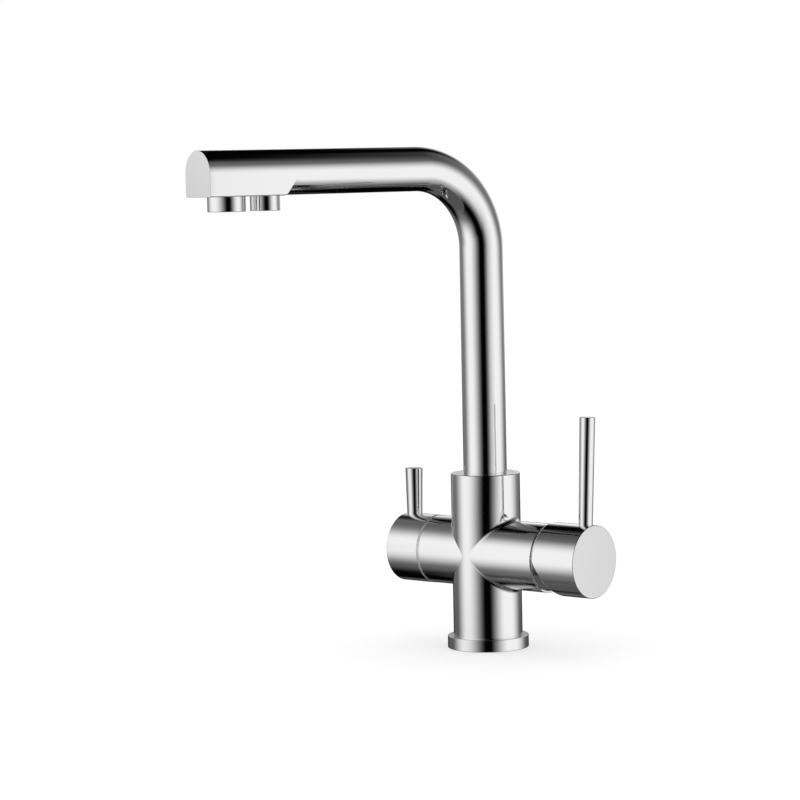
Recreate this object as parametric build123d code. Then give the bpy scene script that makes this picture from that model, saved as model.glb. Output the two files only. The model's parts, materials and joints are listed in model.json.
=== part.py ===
"""Three way filtered water tap, built piece by piece.

The column stands on +Z and its origin is the middle of its underside. The cross arms lie along X: the
mixing valve for hot and cold water is at +X, the valve for filtered water at -X. The front is -Y, and
the spout stands a little to the left of it. All sizes are in millimetres.
"""

import os
from math import acos, asin, cos, degrees, radians, sin, sqrt

from build123d import *

# ------------------------------------------------------------------ driving dimensions
# Fits and clearances
running_clearance = 0.05
seat_clearance = 0.03
sliding_gap = 0.3

# Column, arms and base
column_radius = 22.3
column_height = 113.3
column_edge_round = 0.7
arm_radius = 22.1
arm_axis_height = 61.0
arm_edge_round = 0.5
mixer_arm_end = 52.0
filter_arm_end = 39.6
foot_radius = 18.5
flange_radius = 26.2
flange_height = 7.8
flange_edge_round = 0.4
base_seal_inner = 19.6
base_seal_width = 2.2
base_seal_height = 2.0

# Threaded holes in the underside and the drilled waterways
stud_hole_radius = 3.4
stud_hole_depth = 16.0
inlet_circle_radius = 11.0
inlet_hole_radius = 4.5
inlet_hole_depth = 12.0
inlet_angles = {"hot": 60.0, "cold": -60.0, "filtered": 180.0}
waterway_radius = 3.5
cross_drill_radius = 3.0
filtered_drill_radius = 2.5

# Spout: a bent tube that ends in a head with a squared underside
spout_axis_height = 309.5
spout_tube_radius = 14.0
spout_tube_wall = 1.4
spout_bend_radius = 51.0
spout_reach = 212.0
spout_swivel_at_rest = -14.3
head_half_width = 13.9
head_depth = 14.1
head_heel_length = 7.3
head_heel_rise = 9.1
head_heel_round = 3.0
head_edge_round = 0.2
head_spigot_length = 8.0
head_rear_margin = 6.4
head_block_step = 1.0
mixed_channel_radius = 3.4
mixed_channel_rise = 8.6

# Spout socket in the column and the spigot that turns in it
spigot_radius = 17.5
spigot_top_drop = 0.5
spigot_foot_gap = 2.0
socket_depth = 29.3
tube_socket_depth = 18.0
bearing_ring_height = 3.0
bearing_ring_depth = 1.6
o_ring_section_radius = 1.0
o_ring_rises = (7.0, 10.0)
stop_screw_drop = 10.3
stop_screw_radius = 2.45
stop_screw_length = 5.0
stop_tip_radius = 1.9
stop_screw_seat = 0.2
stop_tip_gap = 0.5
stop_groove_depth = 2.0
spout_swivel_half_range = 75.0

# Feed of filtered water through the middle of the spout
nipple_radius = 3.0
nipple_bore_radius = 1.9
nipple_base_radius = 4.0
nipple_base_depth = 6.0
nipple_collar_radius = 5.4
nipple_collar_height = 3.0
nipple_length = 17.0
hose_wall = 1.1
hose_foot_gap = 2.5

# The two outlets under the head
mixed_outlet_setback = 20.0
mixed_outlet_radius = 11.7
filtered_outlet_radius = 9.3
outlet_gap = 6.8
outlet_drop = 9.1
outlet_wall = 2.2
outlet_thread_length = 6.0
outlet_thread_step = 1.8
washer_height = 1.5
outlet_channel_radius = 2.8
outlet_drop_widening = 0.8
grille_thickness = 2.0
grille_cell_radius = 0.95
grille_cell_pitch = 2.5
grille_recess = 0.6

# Mixing valve: a ceramic disc cartridge in the +X arm
cartridge_seat = 24.0
cartridge_radius = 17.4
cartridge_length = 26.0
cartridge_wall = 2.0
cartridge_base_thickness = 2.5
cartridge_neck_radius = 11.0
port_circle_y = 6.5
port_drop = 4.0
mixed_port_rise = 8.0
port_seal_width = 1.4
port_seal_height = 1.6
port_seal_squeeze = 0.2
fixed_disc_radius = 15.1
fixed_disc_thickness = 3.0
moving_disc_radius = 9.5
moving_disc_thickness = 2.5
disc_driver_height = 4.2
carrier_neck_length = 6.0
mixer_pivot = 44.0
pivot_pin_radius = 1.5
pivot_pin_length = 20.0
stem_ball_offset = 8.6
stem_ball_radius = 2.8
stem_neck_radius = 2.2
stem_neck_length = 3.0
stem_bar_width = 7.0
stem_bar_height = 6.0
stem_square = 8.0
retaining_nut_radius = 19.3
retaining_nut_depth = 8.0
retaining_nut_lip = 2.0
retaining_nut_collar_radius = 17.0
collar_dome_radius = 22.5

# Mixing handle: a cap with a slanted relief that lets it tilt outwards
mixer_handle_radius = 23.2
mixer_handle_start = 53.2
mixer_handle_end = 86.6
mixer_handle_wall = 2.3
mixer_handle_floor = 75.0
mixer_tilt_range = 25.0
relief_clearance = 0.7
stem_socket_start = 62.0
stem_socket_radius = 8.5
handle_edge_round = 0.5

# Filtered water valve: a quarter turn headwork in the -X arm
headwork_seat = 18.0
headwork_radius = 11.9
headwork_shell = 3.0
headwork_chamber_end = 34.0
headwork_collar_radius = 13.4
headwork_neck_radius = 7.5
headwork_neck_end = 48.0
headwork_seal_thickness = 2.0
filter_disc_thickness = 3.0
filter_port_offset = 5.0
filter_stem_radius = 4.0
filter_stem_flange_thickness = 3.5
filter_stem_end = 59.0
filter_o_ring_section_radius = 0.8
filter_o_ring_station = 41.0
filter_trim_ring_radius = 21.8
filter_trim_ring_thickness = 1.0
filter_trim_ring_bevel = 0.3
filter_handle_radius = 22.3
filter_handle_gap = 0.3
filter_handle_end = 66.4
filter_handle_floor = 54.0
filter_handle_wall = 2.3

# Levers, which thicken a little towards their tips, and the screws that hold the handles
mixer_lever_station = 80.0
mixer_lever_tip_height = 152.4
mixer_lever_root_radius = 4.45
mixer_lever_tip_radius = 4.95
mixer_lever_lean = 2.2
filter_lever_station = 59.9
filter_lever_tip_height = 113.4
filter_lever_root_radius = 4.95
filter_lever_tip_radius = 5.65
lever_spigot_radius = 3.0
lever_spigot_length = 8.0
lever_seat_depth = 1.6
lever_tip_round = 0.5
grub_screw_radius = 2.45
grub_screw_length = 6.0
grub_key_radius = 1.25
grub_key_depth = 2.0

# ------------------------------------------------------------------ sizes that follow
socket_radius = spigot_radius + running_clearance
socket_floor = column_height - socket_depth
spigot_foot = socket_floor + spigot_foot_gap
spigot_top = column_height - spigot_top_drop
tube_bore_radius = spout_tube_radius - spout_tube_wall
tube_foot = spigot_top - tube_socket_depth
o_ring_heights = [socket_floor + rise for rise in o_ring_rises]
stop_screw_height = column_height - stop_screw_drop
mixed_outlet_reach = spout_reach - mixed_outlet_setback
outlet_spacing = mixed_outlet_radius + outlet_gap + filtered_outlet_radius
filtered_outlet_reach = mixed_outlet_reach - outlet_spacing
head_start = filtered_outlet_reach - filtered_outlet_radius - head_rear_margin
head_underside = spout_axis_height - head_depth
outlet_mouth = head_underside - outlet_drop
hose_bore_radius = nipple_radius + running_clearance
hose_radius = hose_bore_radius + hose_wall
hose_foot = socket_floor + nipple_collar_height + hose_foot_gap
inlet_port_height = arm_axis_height - port_drop
mixed_port_height = arm_axis_height + mixed_port_rise
cartridge_bore_radius = cartridge_radius + seat_clearance
cartridge_base = cartridge_seat + port_seal_squeeze
cartridge_top = cartridge_base + cartridge_length
cartridge_chamber_start = cartridge_base + cartridge_base_thickness
cartridge_chamber_end = cartridge_top - cartridge_wall
cartridge_chamber_radius = cartridge_radius - cartridge_wall
moving_disc_start = cartridge_chamber_start + fixed_disc_thickness
disc_driver_start = moving_disc_start + moving_disc_thickness
carrier_radius = cartridge_chamber_radius - running_clearance
stem_ball_station = mixer_pivot - stem_ball_offset
mixer_neck_end = cartridge_top + carrier_neck_length
tilt = radians(mixer_tilt_range)
stem_square_reach = mixer_neck_end + sliding_gap - mixer_pivot + stem_square / 2 * sin(tilt)
stem_square_start = mixer_pivot + stem_square_reach / cos(tilt)
disc_travel = stem_ball_offset * sin(tilt)
nut_start = mixer_arm_end - retaining_nut_depth
headwork_bore_radius = headwork_radius + seat_clearance
headwork_chamber_radius = headwork_radius - headwork_shell
filter_disc_start = headwork_seat + headwork_seal_thickness
filter_moving_disc_start = filter_disc_start + filter_disc_thickness
filter_stem_start = filter_moving_disc_start + filter_disc_thickness
filter_handle_start = filter_arm_end + filter_trim_ring_thickness + filter_handle_gap
outlets = {
    "mixed": (mixed_outlet_reach, mixed_outlet_radius),
    "filtered": (filtered_outlet_reach, filtered_outlet_radius),
}

parts = {}


# ------------------------------------------------------------------ shapes used by many pieces
def rod(axis, radius, start, end, u=0.0, v=0.0):
    """Cylinder along an axis from start to end; u and v are its place across the axis."""
    middle = (start + end) / 2
    place, turn = {
        "X": (Pos(middle, u, v), Rot(0, 90, 0)),
        "Y": (Pos(u, middle, v), Rot(90, 0, 0)),
        "Z": (Pos(u, v, middle), Rot(0, 0, 0)),
    }[axis]
    return place * turn * Cylinder(radius, abs(end - start))


def turned(axis, outline):
    """Solid of revolution about Z or X from a closed outline of (station along the axis, radius)."""
    if axis == "Z":
        points = [(radius, 0, station) for station, radius in outline]
        return revolve(make_face(Polyline(*points, close=True)), Axis.Z)
    points = [(station, 0, radius) for station, radius in outline]
    return revolve(make_face(Polyline(*points, close=True)), Axis.X)


def ring(axis, outer, inner, start, end, u=0.0, v=0.0):
    """Plain ring or bush along an axis."""
    return rod(axis, outer, start, end, u, v) - rod(axis, inner, start, end, u, v)


def o_ring(centre_radius, section_radius):
    """Rubber ring lying in the XY plane."""
    return Torus(centre_radius, section_radius)


def arm(shape):
    """Carries a shape made about the X axis up to the height of the arms."""
    return Pos(0, 0, arm_axis_height) * shape


def swivelled(shape):
    """Turns a piece of the spout, made with the spout to the front, to where the spout stands."""
    return Rot(0, 0, spout_swivel_at_rest) * shape


def keep(name, shape):
    """Names a finished piece, to be written at the end."""
    parts[name] = shape


# ------------------------------------------------------------------ column, arms and base
def inlet_place(name):
    """X and Y of a water inlet in the underside of the column."""
    angle = radians(inlet_angles[name])
    return inlet_circle_radius * cos(angle), inlet_circle_radius * sin(angle)


def tap_body():
    """Cast column with its two cross arms, bored for the spout and both valves."""
    column = rod("Z", column_radius, flange_height, column_height)
    column = fillet(column.edges().sort_by(Axis.Z)[-1], column_edge_round)
    arms = rod("X", arm_radius, -filter_arm_end, mixer_arm_end, v=arm_axis_height)
    arms = fillet(arms.edges().filter_by(GeomType.CIRCLE), arm_edge_round)
    body = column + arms + rod("Z", foot_radius, 0, flange_height)
    body -= rod("Z", socket_radius, socket_floor, column_height)
    body -= arm(
        turned(
            "X",
            [
                (cartridge_seat, 0),
                (cartridge_seat, cartridge_bore_radius),
                (nut_start, cartridge_bore_radius),
                (nut_start, retaining_nut_radius + seat_clearance),
                (mixer_arm_end, retaining_nut_radius + seat_clearance),
                (mixer_arm_end, 0),
            ],
        )
    )
    body -= rod("X", headwork_bore_radius, -filter_arm_end, -headwork_seat, v=arm_axis_height)
    return body - waterways() - stop_screw_hole()


def waterways():
    """Threaded inlets in the foot and the drillings that lead to the valves and on to the spout."""
    cuts = rod("Z", stud_hole_radius, 0, stud_hole_depth)
    for name in inlet_angles:
        x, y = inlet_place(name)
        cuts += rod("Z", inlet_hole_radius, 0, inlet_hole_depth, x, y)
        cuts += rod("Z", waterway_radius, inlet_hole_depth, inlet_port_height, x, y)
    for name, side in (("hot", 1), ("cold", -1)):
        x, _ = inlet_place(name)
        cuts += rod("X", cross_drill_radius, x, cartridge_seat, side * port_circle_y, inlet_port_height)
    mixed_x = inlet_circle_radius - 1
    cuts += rod("X", cross_drill_radius, mixed_x, cartridge_seat, 0, mixed_port_height)
    cuts += rod("Z", waterway_radius, mixed_port_height, socket_floor, mixed_x, 0)
    filtered_x, _ = inlet_place("filtered")
    below = arm_axis_height - filter_port_offset
    above = arm_axis_height + filter_port_offset
    cuts += rod("X", filtered_drill_radius, -headwork_seat, filtered_x, 0, below)
    cuts += rod("X", filtered_drill_radius, -headwork_seat, 0, 0, above)
    cuts += rod("Z", filtered_drill_radius, above, socket_floor)
    cuts += rod("Z", nipple_base_radius + seat_clearance, socket_floor - nipple_base_depth, socket_floor)
    return cuts


def stop_screw_hole():
    """Hole through the rear wall of the column for the screw that stops and holds the spout."""
    radius = stop_screw_radius + seat_clearance
    return rod("Y", radius, socket_radius - 1, column_radius + 1, 0, stop_screw_height)


def base_flange():
    """Round base plate with a rounded upper edge and a groove below for its seal."""
    plate = rod("Z", flange_radius, 0, flange_height)
    plate = fillet(plate.edges().sort_by(Axis.Z)[-1], flange_edge_round)
    plate -= rod("Z", foot_radius + seat_clearance, 0, flange_height)
    groove_outer = base_seal_inner + base_seal_width
    return plate - ring("Z", groove_outer, base_seal_inner, 0, base_seal_height)


def base_seal():
    """Flat rubber ring in the groove of the base plate."""
    outer = base_seal_inner + base_seal_width - seat_clearance
    return ring("Z", outer, base_seal_inner + seat_clearance, 0, base_seal_height)


def keyed_screw(radius, length):
    """Headless screw along +Z with a hexagon key socket in its upper end."""
    key = extrude(RegularPolygon(grub_key_radius, 6), grub_key_depth)
    return rod("Z", radius, 0, length) - Pos(0, 0, length - grub_key_depth) * key


def spout_stop_screw():
    """Screw in the rear of the column whose tip runs in the groove of the spout's spigot."""
    seat = socket_radius + stop_screw_seat
    tip_end = spigot_radius - stop_groove_depth + stop_tip_gap
    screw = keyed_screw(stop_screw_radius, stop_screw_length)
    screw += rod("Z", stop_tip_radius, tip_end - seat, 0)
    return Pos(0, seat, stop_screw_height) * Rot(-90, 0, 0) * screw


# ------------------------------------------------------------------ spout
def spout_path(start_height, end_reach):
    """Centre line of the spout: straight up, a quarter bend, then level to the front."""
    bend_start = spout_axis_height - spout_bend_radius
    half = radians(45)
    middle_y = -spout_bend_radius * (1 - cos(half))
    middle_z = bend_start + spout_bend_radius * sin(half)
    rise = Line((0, 0, start_height), (0, 0, bend_start))
    bend_end = (0, -spout_bend_radius, spout_axis_height)
    bend = ThreePointArc((0, 0, bend_start), (0, middle_y, middle_z), bend_end)
    run = Line(bend_end, (0, -end_reach, spout_axis_height))
    return Wire([rise, bend, run])


def bent_tube(outer, inner, start_height, end_reach):
    """Round tube along the spout's centre line."""
    path = spout_path(start_height, end_reach)
    section = Plane.XY.offset(start_height)
    return sweep(section * Circle(outer), path=path) - sweep(section * Circle(inner), path=path)


def groove(outer, depth, bottom, top):
    """Ring that cuts a square groove into the spigot."""
    return ring("Z", outer + 1, outer - depth, bottom, top)


def stop_groove():
    """Part turn groove in which the stop screw's tip runs."""
    floor_radius = spigot_radius - stop_groove_depth
    half_height = stop_tip_radius + sliding_gap
    tip_angle = degrees(asin(stop_tip_radius / floor_radius))
    half_turn = spout_swivel_half_range + tip_angle + 1.0
    face = make_face(
        Polyline(
            (floor_radius, 0, stop_screw_height - half_height),
            (spigot_radius + 1, 0, stop_screw_height - half_height),
            (spigot_radius + 1, 0, stop_screw_height + half_height),
            (floor_radius, 0, stop_screw_height + half_height),
            close=True,
        )
    )
    return revolve(Rot(0, 0, 90 - half_turn) * face, Axis.Z, revolution_arc=2 * half_turn)


def bearing_stations():
    """Bottom heights of the two plastic rings that guide the spigot."""
    return (spigot_foot + 1.0, spigot_top - 2.0 - bearing_ring_height)


def spout_spigot():
    """Turned foot of the spout, with grooves for its seals, guide rings and stop screw."""
    body = rod("Z", spigot_radius, spigot_foot, spigot_top)
    body -= rod("Z", tube_bore_radius, spigot_foot, spigot_top)
    body -= rod("Z", spout_tube_radius + seat_clearance, tube_foot, spigot_top)
    for bottom in bearing_stations():
        body -= groove(spigot_radius, bearing_ring_depth, bottom, bottom + bearing_ring_height)
    o_depth = 2 * o_ring_section_radius
    half = o_ring_section_radius + running_clearance
    for height in o_ring_heights:
        body -= groove(spigot_radius, o_depth, height - half, height + half)
    return body - stop_groove()


def spout_bearing_rings():
    """Two plastic rings that fill the outer grooves of the spigot."""
    inner = spigot_radius - bearing_ring_depth + seat_clearance
    rings = []
    for bottom in bearing_stations():
        top = bottom + bearing_ring_height - seat_clearance
        rings.append(ring("Z", spigot_radius, inner, bottom + seat_clearance, top))
    return Compound(children=[piece.solid() for piece in rings])


def spout_o_rings():
    """Two rubber rings that seal the spigot in its socket."""
    centre = spigot_radius - o_ring_section_radius
    rings = [Pos(0, 0, height) * o_ring(centre, o_ring_section_radius) for height in o_ring_heights]
    return Compound(children=[piece.solid() for piece in rings])


def spout_tube():
    """Bent outer tube of the spout."""
    return bent_tube(spout_tube_radius, tube_bore_radius, tube_foot, head_start)


def filtered_feed_hose():
    """Hose that carries the filtered water through the spout, apart from the mixed water."""
    end = filtered_outlet_reach - outlet_channel_radius - 4.0
    return bent_tube(hose_radius, hose_bore_radius, hose_foot, end)


def filtered_feed_nipple():
    """Turned nipple in the socket's floor, round which the end of the hose turns."""
    top = socket_floor + nipple_collar_height + nipple_length
    return turned(
        "Z",
        [
            (socket_floor - nipple_base_depth, nipple_bore_radius),
            (socket_floor - nipple_base_depth, nipple_base_radius),
            (socket_floor, nipple_base_radius),
            (socket_floor, nipple_collar_radius),
            (socket_floor + nipple_collar_height, nipple_collar_radius),
            (socket_floor + nipple_collar_height, nipple_radius),
            (top, nipple_radius),
            (top, nipple_bore_radius),
        ],
    )


def outlet_port(reach, radius):
    """Cut for one outlet: a threaded recess for its housing and the washer above it."""
    top = head_underside + outlet_thread_length + washer_height
    return rod("Z", radius - outlet_thread_step + seat_clearance, head_underside, top, 0, -reach)


def head_block():
    """Lower half of the head: flat flanks and a flat underside that ends in a slanted heel."""
    rear = -head_start - head_block_step
    outline = Polyline(
        (0, -spout_reach, 0),
        (0, -spout_reach, -head_depth),
        (0, rear - head_heel_length, -head_depth),
        (0, rear, head_heel_rise - head_depth),
        (0, rear, 0),
        close=True,
    )
    block = extrude(make_face(outline), head_half_width, both=True, dir=(1, 0, 0))
    heel = block.edges().filter_by(Axis.X).sort_by(Axis.Z)[:2].sort_by(Axis.Y)[-1]
    return Pos(0, 0, spout_axis_height) * fillet(heel, head_heel_round)


def spout_head():
    """Round nose of the spout with the squared block below it, bored for both kinds of water."""
    nose = rod("Y", spout_tube_radius, -spout_reach, -head_start, 0, spout_axis_height)
    head = nose + head_block()
    spigot_end = -head_start + head_spigot_length
    head += rod("Y", tube_bore_radius - seat_clearance, -head_start, spigot_end, 0, spout_axis_height)
    front = head.faces().sort_by(Axis.Y)[0]
    head = fillet(front.edges(), head_edge_round)
    for reach, radius in outlets.values():
        head -= outlet_port(reach, radius)
    hose_end = -filtered_outlet_reach + outlet_channel_radius + 4.0
    head -= rod("Y", hose_radius + seat_clearance, hose_end, spigot_end, 0, spout_axis_height)
    head -= rod("Y", outlet_channel_radius, -filtered_outlet_reach, hose_end, 0, spout_axis_height)
    drop_radius = outlet_channel_radius + outlet_drop_widening
    head -= rod("Z", drop_radius, head_underside, spout_axis_height, 0, -filtered_outlet_reach)
    channel_height = spout_axis_height + mixed_channel_rise
    head -= rod("Y", mixed_channel_radius, -mixed_outlet_reach, spigot_end, 0, channel_height)
    drop_radius = mixed_channel_radius + outlet_drop_widening
    return head - rod("Z", drop_radius, head_underside, channel_height, 0, -mixed_outlet_reach)


def outlet_housing(reach, radius):
    """Round nozzle ring that screws into the head, with a lip that holds its insert."""
    step = head_underside
    outline = [
        (outlet_mouth, radius - outlet_wall - 0.6),
        (outlet_mouth, radius - 0.5),
        (outlet_mouth + 0.5, radius),
        (step, radius),
        (step, radius - outlet_thread_step),
        (step + outlet_thread_length, radius - outlet_thread_step),
        (step + outlet_thread_length, radius - outlet_wall - outlet_thread_step),
        (step - 2.0, radius - outlet_wall - outlet_thread_step),
        (step - 2.0, radius - outlet_wall),
        (outlet_mouth + 1.2, radius - outlet_wall),
    ]
    return Pos(0, -reach, 0) * turned("Z", outline)


def outlet_insert(reach, radius):
    """Plastic jet former: a cup whose floor is a honeycomb of small openings."""
    outer = radius - outlet_wall - seat_clearance
    cup = rod("Z", outer, outlet_mouth + 1.2, head_underside - 2.0)
    cup -= rod("Z", outer - 1.2, outlet_mouth + 1.2 + grille_thickness, head_underside - 2.0)
    cup -= rod("Z", radius - outlet_wall - 0.7, outlet_mouth + 1.2, outlet_mouth + 1.2 + grille_recess)
    cells = []
    rows = int((outer - 1.5) / (grille_cell_pitch * sqrt(3) / 2))
    for row in range(-rows, rows + 1):
        y = row * grille_cell_pitch * sqrt(3) / 2
        for column in range(-rows - 1, rows + 2):
            x = (column + 0.5 * (row % 2)) * grille_cell_pitch
            if sqrt(x * x + y * y) + grille_cell_radius < outer - 1.5:
                cells.append(Pos(x, y, outlet_mouth) * RegularPolygon(grille_cell_radius, 6))
    openings = extrude(Sketch(children=cells), 1.2 + grille_thickness)
    return Pos(0, -reach, 0) * (cup - openings)


def outlet_washer(reach, radius):
    """Flat rubber washer between the housing and the head."""
    bottom = head_underside + outlet_thread_length
    outer = radius - outlet_thread_step
    return ring("Z", outer, outer - outlet_wall, bottom, bottom + washer_height, 0, -reach)


# ------------------------------------------------------------------ mixing valve
def port_places():
    """Y and Z, from the arm's axis, of the hot, cold and mixed ports in the cartridge's base."""
    return ((port_circle_y, -port_drop), (-port_circle_y, -port_drop), (0.0, mixed_port_rise))


def port_drills(start, end):
    """Three port drillings through a disc or plate of the cartridge."""
    drills = [rod("X", cross_drill_radius, start, end, y, z) for y, z in port_places()]
    return drills[0] + drills[1] + drills[2]


def mixer_cartridge_housing():
    """Plastic cup of the cartridge, with its ported base and an open neck for the rotor."""
    cup = turned(
        "X",
        [
            (cartridge_base, 0),
            (cartridge_base, cartridge_radius),
            (cartridge_top, cartridge_radius),
            (cartridge_top, cartridge_neck_radius + running_clearance),
            (cartridge_chamber_end, cartridge_neck_radius + running_clearance),
            (cartridge_chamber_end, cartridge_chamber_radius),
            (cartridge_chamber_start, cartridge_chamber_radius),
            (cartridge_chamber_start, 0),
        ],
    )
    cup -= port_drills(cartridge_base, cartridge_chamber_start)
    recess_end = cartridge_seat + port_seal_height
    for y, z in port_places():
        radius = cross_drill_radius + port_seal_width + seat_clearance
        cup -= rod("X", radius, cartridge_base, recess_end, y, z)
    return arm(cup)


def mixer_port_seals():
    """Three rubber rings round the ports, pressed between the cartridge and its seat."""
    outer = cross_drill_radius + port_seal_width
    end = cartridge_seat + port_seal_height
    rings = [arm(ring("X", outer, cross_drill_radius, cartridge_seat, end, y, z)) for y, z in port_places()]
    return Compound(children=[piece.solid() for piece in rings])


def mixer_fixed_disc():
    """Ported ceramic disc that stands still."""
    disc = rod("X", fixed_disc_radius, cartridge_chamber_start, moving_disc_start)
    return arm(disc - port_drills(cartridge_chamber_start, moving_disc_start))


def mixer_moving_disc():
    """Ceramic disc that slides and turns over the fixed one; its pocket joins the open ports."""
    disc = rod("X", moving_disc_radius, moving_disc_start, disc_driver_start)
    pocket = rod("X", port_circle_y, moving_disc_start, moving_disc_start + moving_disc_thickness / 2)
    return arm(disc - pocket)


def mixer_disc_driver():
    """Plastic driver on the moving disc, with the socket that the ball of the stem sits in."""
    end = disc_driver_start + disc_driver_height
    driver = rod("X", moving_disc_radius, disc_driver_start, end)
    socket = rod("X", stem_ball_radius + sliding_gap, disc_driver_start, end)
    return arm(driver - socket)


def mixer_carrier():
    """Rotor of the cartridge: a skirt round the sliding disc, and a neck slotted for the stem."""
    skirt_start = moving_disc_start + running_clearance
    body = rod("X", carrier_radius, skirt_start, cartridge_chamber_end - running_clearance)
    body += rod("X", cartridge_neck_radius, cartridge_chamber_end - 1, mixer_neck_end)
    window_end = disc_driver_start + disc_driver_height + sliding_gap
    window = moving_disc_radius + sliding_gap
    travel = disc_travel + sliding_gap
    body -= rod("X", window, skirt_start, window_end)
    body -= rod("X", window, skirt_start, window_end, 0, travel)
    middle = (skirt_start + window_end) / 2
    body -= Pos(middle, 0, travel / 2) * Box(window_end - skirt_start, 2 * window, travel)
    return arm(body - stem_slot() - pivot_hole())


def stem_slot():
    """Space in the rotor that the stem sweeps as it tilts, widening away from the pivot both ways."""
    width = stem_bar_width + 2 * sliding_gap
    half = stem_bar_height / 2 + sliding_gap
    outer = mixer_neck_end - mixer_pivot + 1
    inner = stem_ball_offset + 1
    lower = -outer * sin(tilt) / cos(tilt) - half / cos(tilt)
    upper = inner * sin(tilt) / cos(tilt) + half / cos(tilt)
    outline = Polyline(
        (-inner, 0, -half),
        (0, 0, -half / cos(tilt)),
        (outer, 0, lower),
        (outer, 0, half),
        (0, 0, half / cos(tilt)),
        (-inner, 0, upper),
        close=True,
    )
    face = make_face(outline)
    return Pos(mixer_pivot, 0, 0) * extrude(face, width / 2, both=True, dir=(0, 1, 0))


def pivot_hole():
    """Cross hole through the rotor for the pivot pin."""
    return rod("Y", pivot_pin_radius + seat_clearance, -pivot_pin_length, pivot_pin_length, mixer_pivot, 0)


def mixer_pivot_pin():
    """Steel pin on which the stem tilts."""
    return arm(rod("Y", pivot_pin_radius, -pivot_pin_length / 2, pivot_pin_length / 2, mixer_pivot, 0))


def mixer_stem():
    """Lever stem: a flat bar with a ball at its inner end, squared where the handle grips it."""
    outer_end = mixer_handle_floor + 5.0
    bar_end = stem_square_start
    neck_start = stem_ball_station + stem_ball_radius * 0.6
    bar_length = bar_end - neck_start
    bar = Pos((bar_end + neck_start) / 2, 0, 0) * Box(bar_length, stem_bar_width, stem_bar_height)
    nose = Box(stem_neck_length, stem_bar_width, stem_bar_height)
    nose -= Rot(0, 90, 0) * Cylinder(stem_neck_radius, stem_neck_length)
    bar -= Pos(neck_start + stem_neck_length / 2, 0, 0) * nose
    square = Pos((outer_end + bar_end) / 2, 0, 0) * Box(outer_end - bar_end, stem_square, stem_square)
    stem = bar + square + Pos(stem_ball_station, 0, 0) * Sphere(stem_ball_radius)
    hole_radius = pivot_pin_radius + running_clearance
    return arm(stem - rod("Y", hole_radius, -stem_square, stem_square, mixer_pivot, 0))


def mixer_retaining_nut():
    """Brass nut that screws into the arm and holds the cartridge by its rim."""
    lip_end = cartridge_top + retaining_nut_lip
    nut = turned(
        "X",
        [
            (nut_start, cartridge_bore_radius),
            (nut_start, retaining_nut_radius),
            (mixer_arm_end, retaining_nut_radius),
            (mixer_arm_end, retaining_nut_collar_radius),
            (lip_end + 2.0, retaining_nut_collar_radius),
            (lip_end + 2.0, retaining_nut_collar_radius - 2.0),
            (lip_end, cartridge_neck_radius + 2.0),
            (cartridge_top, cartridge_neck_radius + 2.0),
            (cartridge_top, cartridge_bore_radius),
        ],
    )
    return arm(nut)


def mixer_trim_ring():
    """Plated collar on the arm's end: a slice of a ball round the pivot, so the handle tilts over it."""
    inner = retaining_nut_collar_radius + seat_clearance
    foot_angle = degrees(acos((mixer_arm_end - mixer_pivot) / collar_dome_radius))
    rim_angle = degrees(asin(inner / collar_dome_radius))
    dome = CenterArc((mixer_pivot, 0), collar_dome_radius, rim_angle, foot_angle - rim_angle)
    corner = (mixer_arm_end, inner)
    outline = Wire([dome, Line(dome @ 1, corner), Line(corner, dome @ 0)])
    return arm(revolve(make_face(outline), Axis.X))


def relief_wedge():
    """Space behind a slanted plane, cut from the handle so that it clears the arm when tilted."""
    size = 4 * mixer_handle_radius
    standing_face = mixer_arm_end + relief_clearance
    block = Pos(standing_face - size / 2, 0, 0) * Box(size, size, size)
    return Pos(mixer_pivot, 0, 0) * Rot(0, -mixer_tilt_range, 0) * Pos(-mixer_pivot, 0, 0) * block


def mixer_handle():
    """Cap of the mixing valve: thin walled over the nut, solid towards its end."""
    cap = rod("X", mixer_handle_radius, mixer_handle_start, mixer_handle_end)
    cap = fillet(cap.edges().filter_by(GeomType.CIRCLE).sort_by(Axis.X)[-1], handle_edge_round)
    bore = mixer_handle_radius - mixer_handle_wall
    hollow = rod("X", bore, mixer_handle_start, mixer_handle_floor)
    hollow -= rod("X", stem_socket_radius, stem_socket_start, mixer_handle_floor)
    cap -= hollow
    cap -= relief_wedge()
    grip = stem_square + 2 * seat_clearance
    grip_length = mixer_handle_floor + 5.0 - stem_socket_start
    cap -= Pos(stem_socket_start + grip_length / 2, 0, 0) * Box(grip_length, grip, grip)
    cap -= lever_seat(mixer_lever_station, mixer_handle_radius, mixer_lever_root_radius, mixer_lever_lean)
    cap -= grub_screw_hole(mixer_lever_station - 2.0, mixer_handle_radius, stem_square / 2)
    return arm(cap)


# ------------------------------------------------------------------ levers and grub screws
def lever_outline(root_radius, tip_radius, length):
    """Half outline of a lever along +Z with a threaded spigot below its seat."""
    return [
        (-lever_seat_depth - lever_spigot_length, 0),
        (-lever_seat_depth - lever_spigot_length, lever_spigot_radius),
        (-lever_seat_depth, lever_spigot_radius),
        (-lever_seat_depth, root_radius),
        (length, tip_radius),
        (length, 0),
    ]


def lever(station, handle_radius, root_radius, tip_radius, tip_height, lean):
    """Slim rod that stands on a handle and thickens a little towards its rounded tip."""
    length = tip_height - arm_axis_height - handle_radius
    stick = turned("Z", lever_outline(root_radius, tip_radius, length))
    stick = fillet(stick.edges().sort_by(Axis.Z)[-1], lever_tip_round)
    return arm(Pos(station, 0, handle_radius) * Rot(0, lean, 0) * stick)


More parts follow.
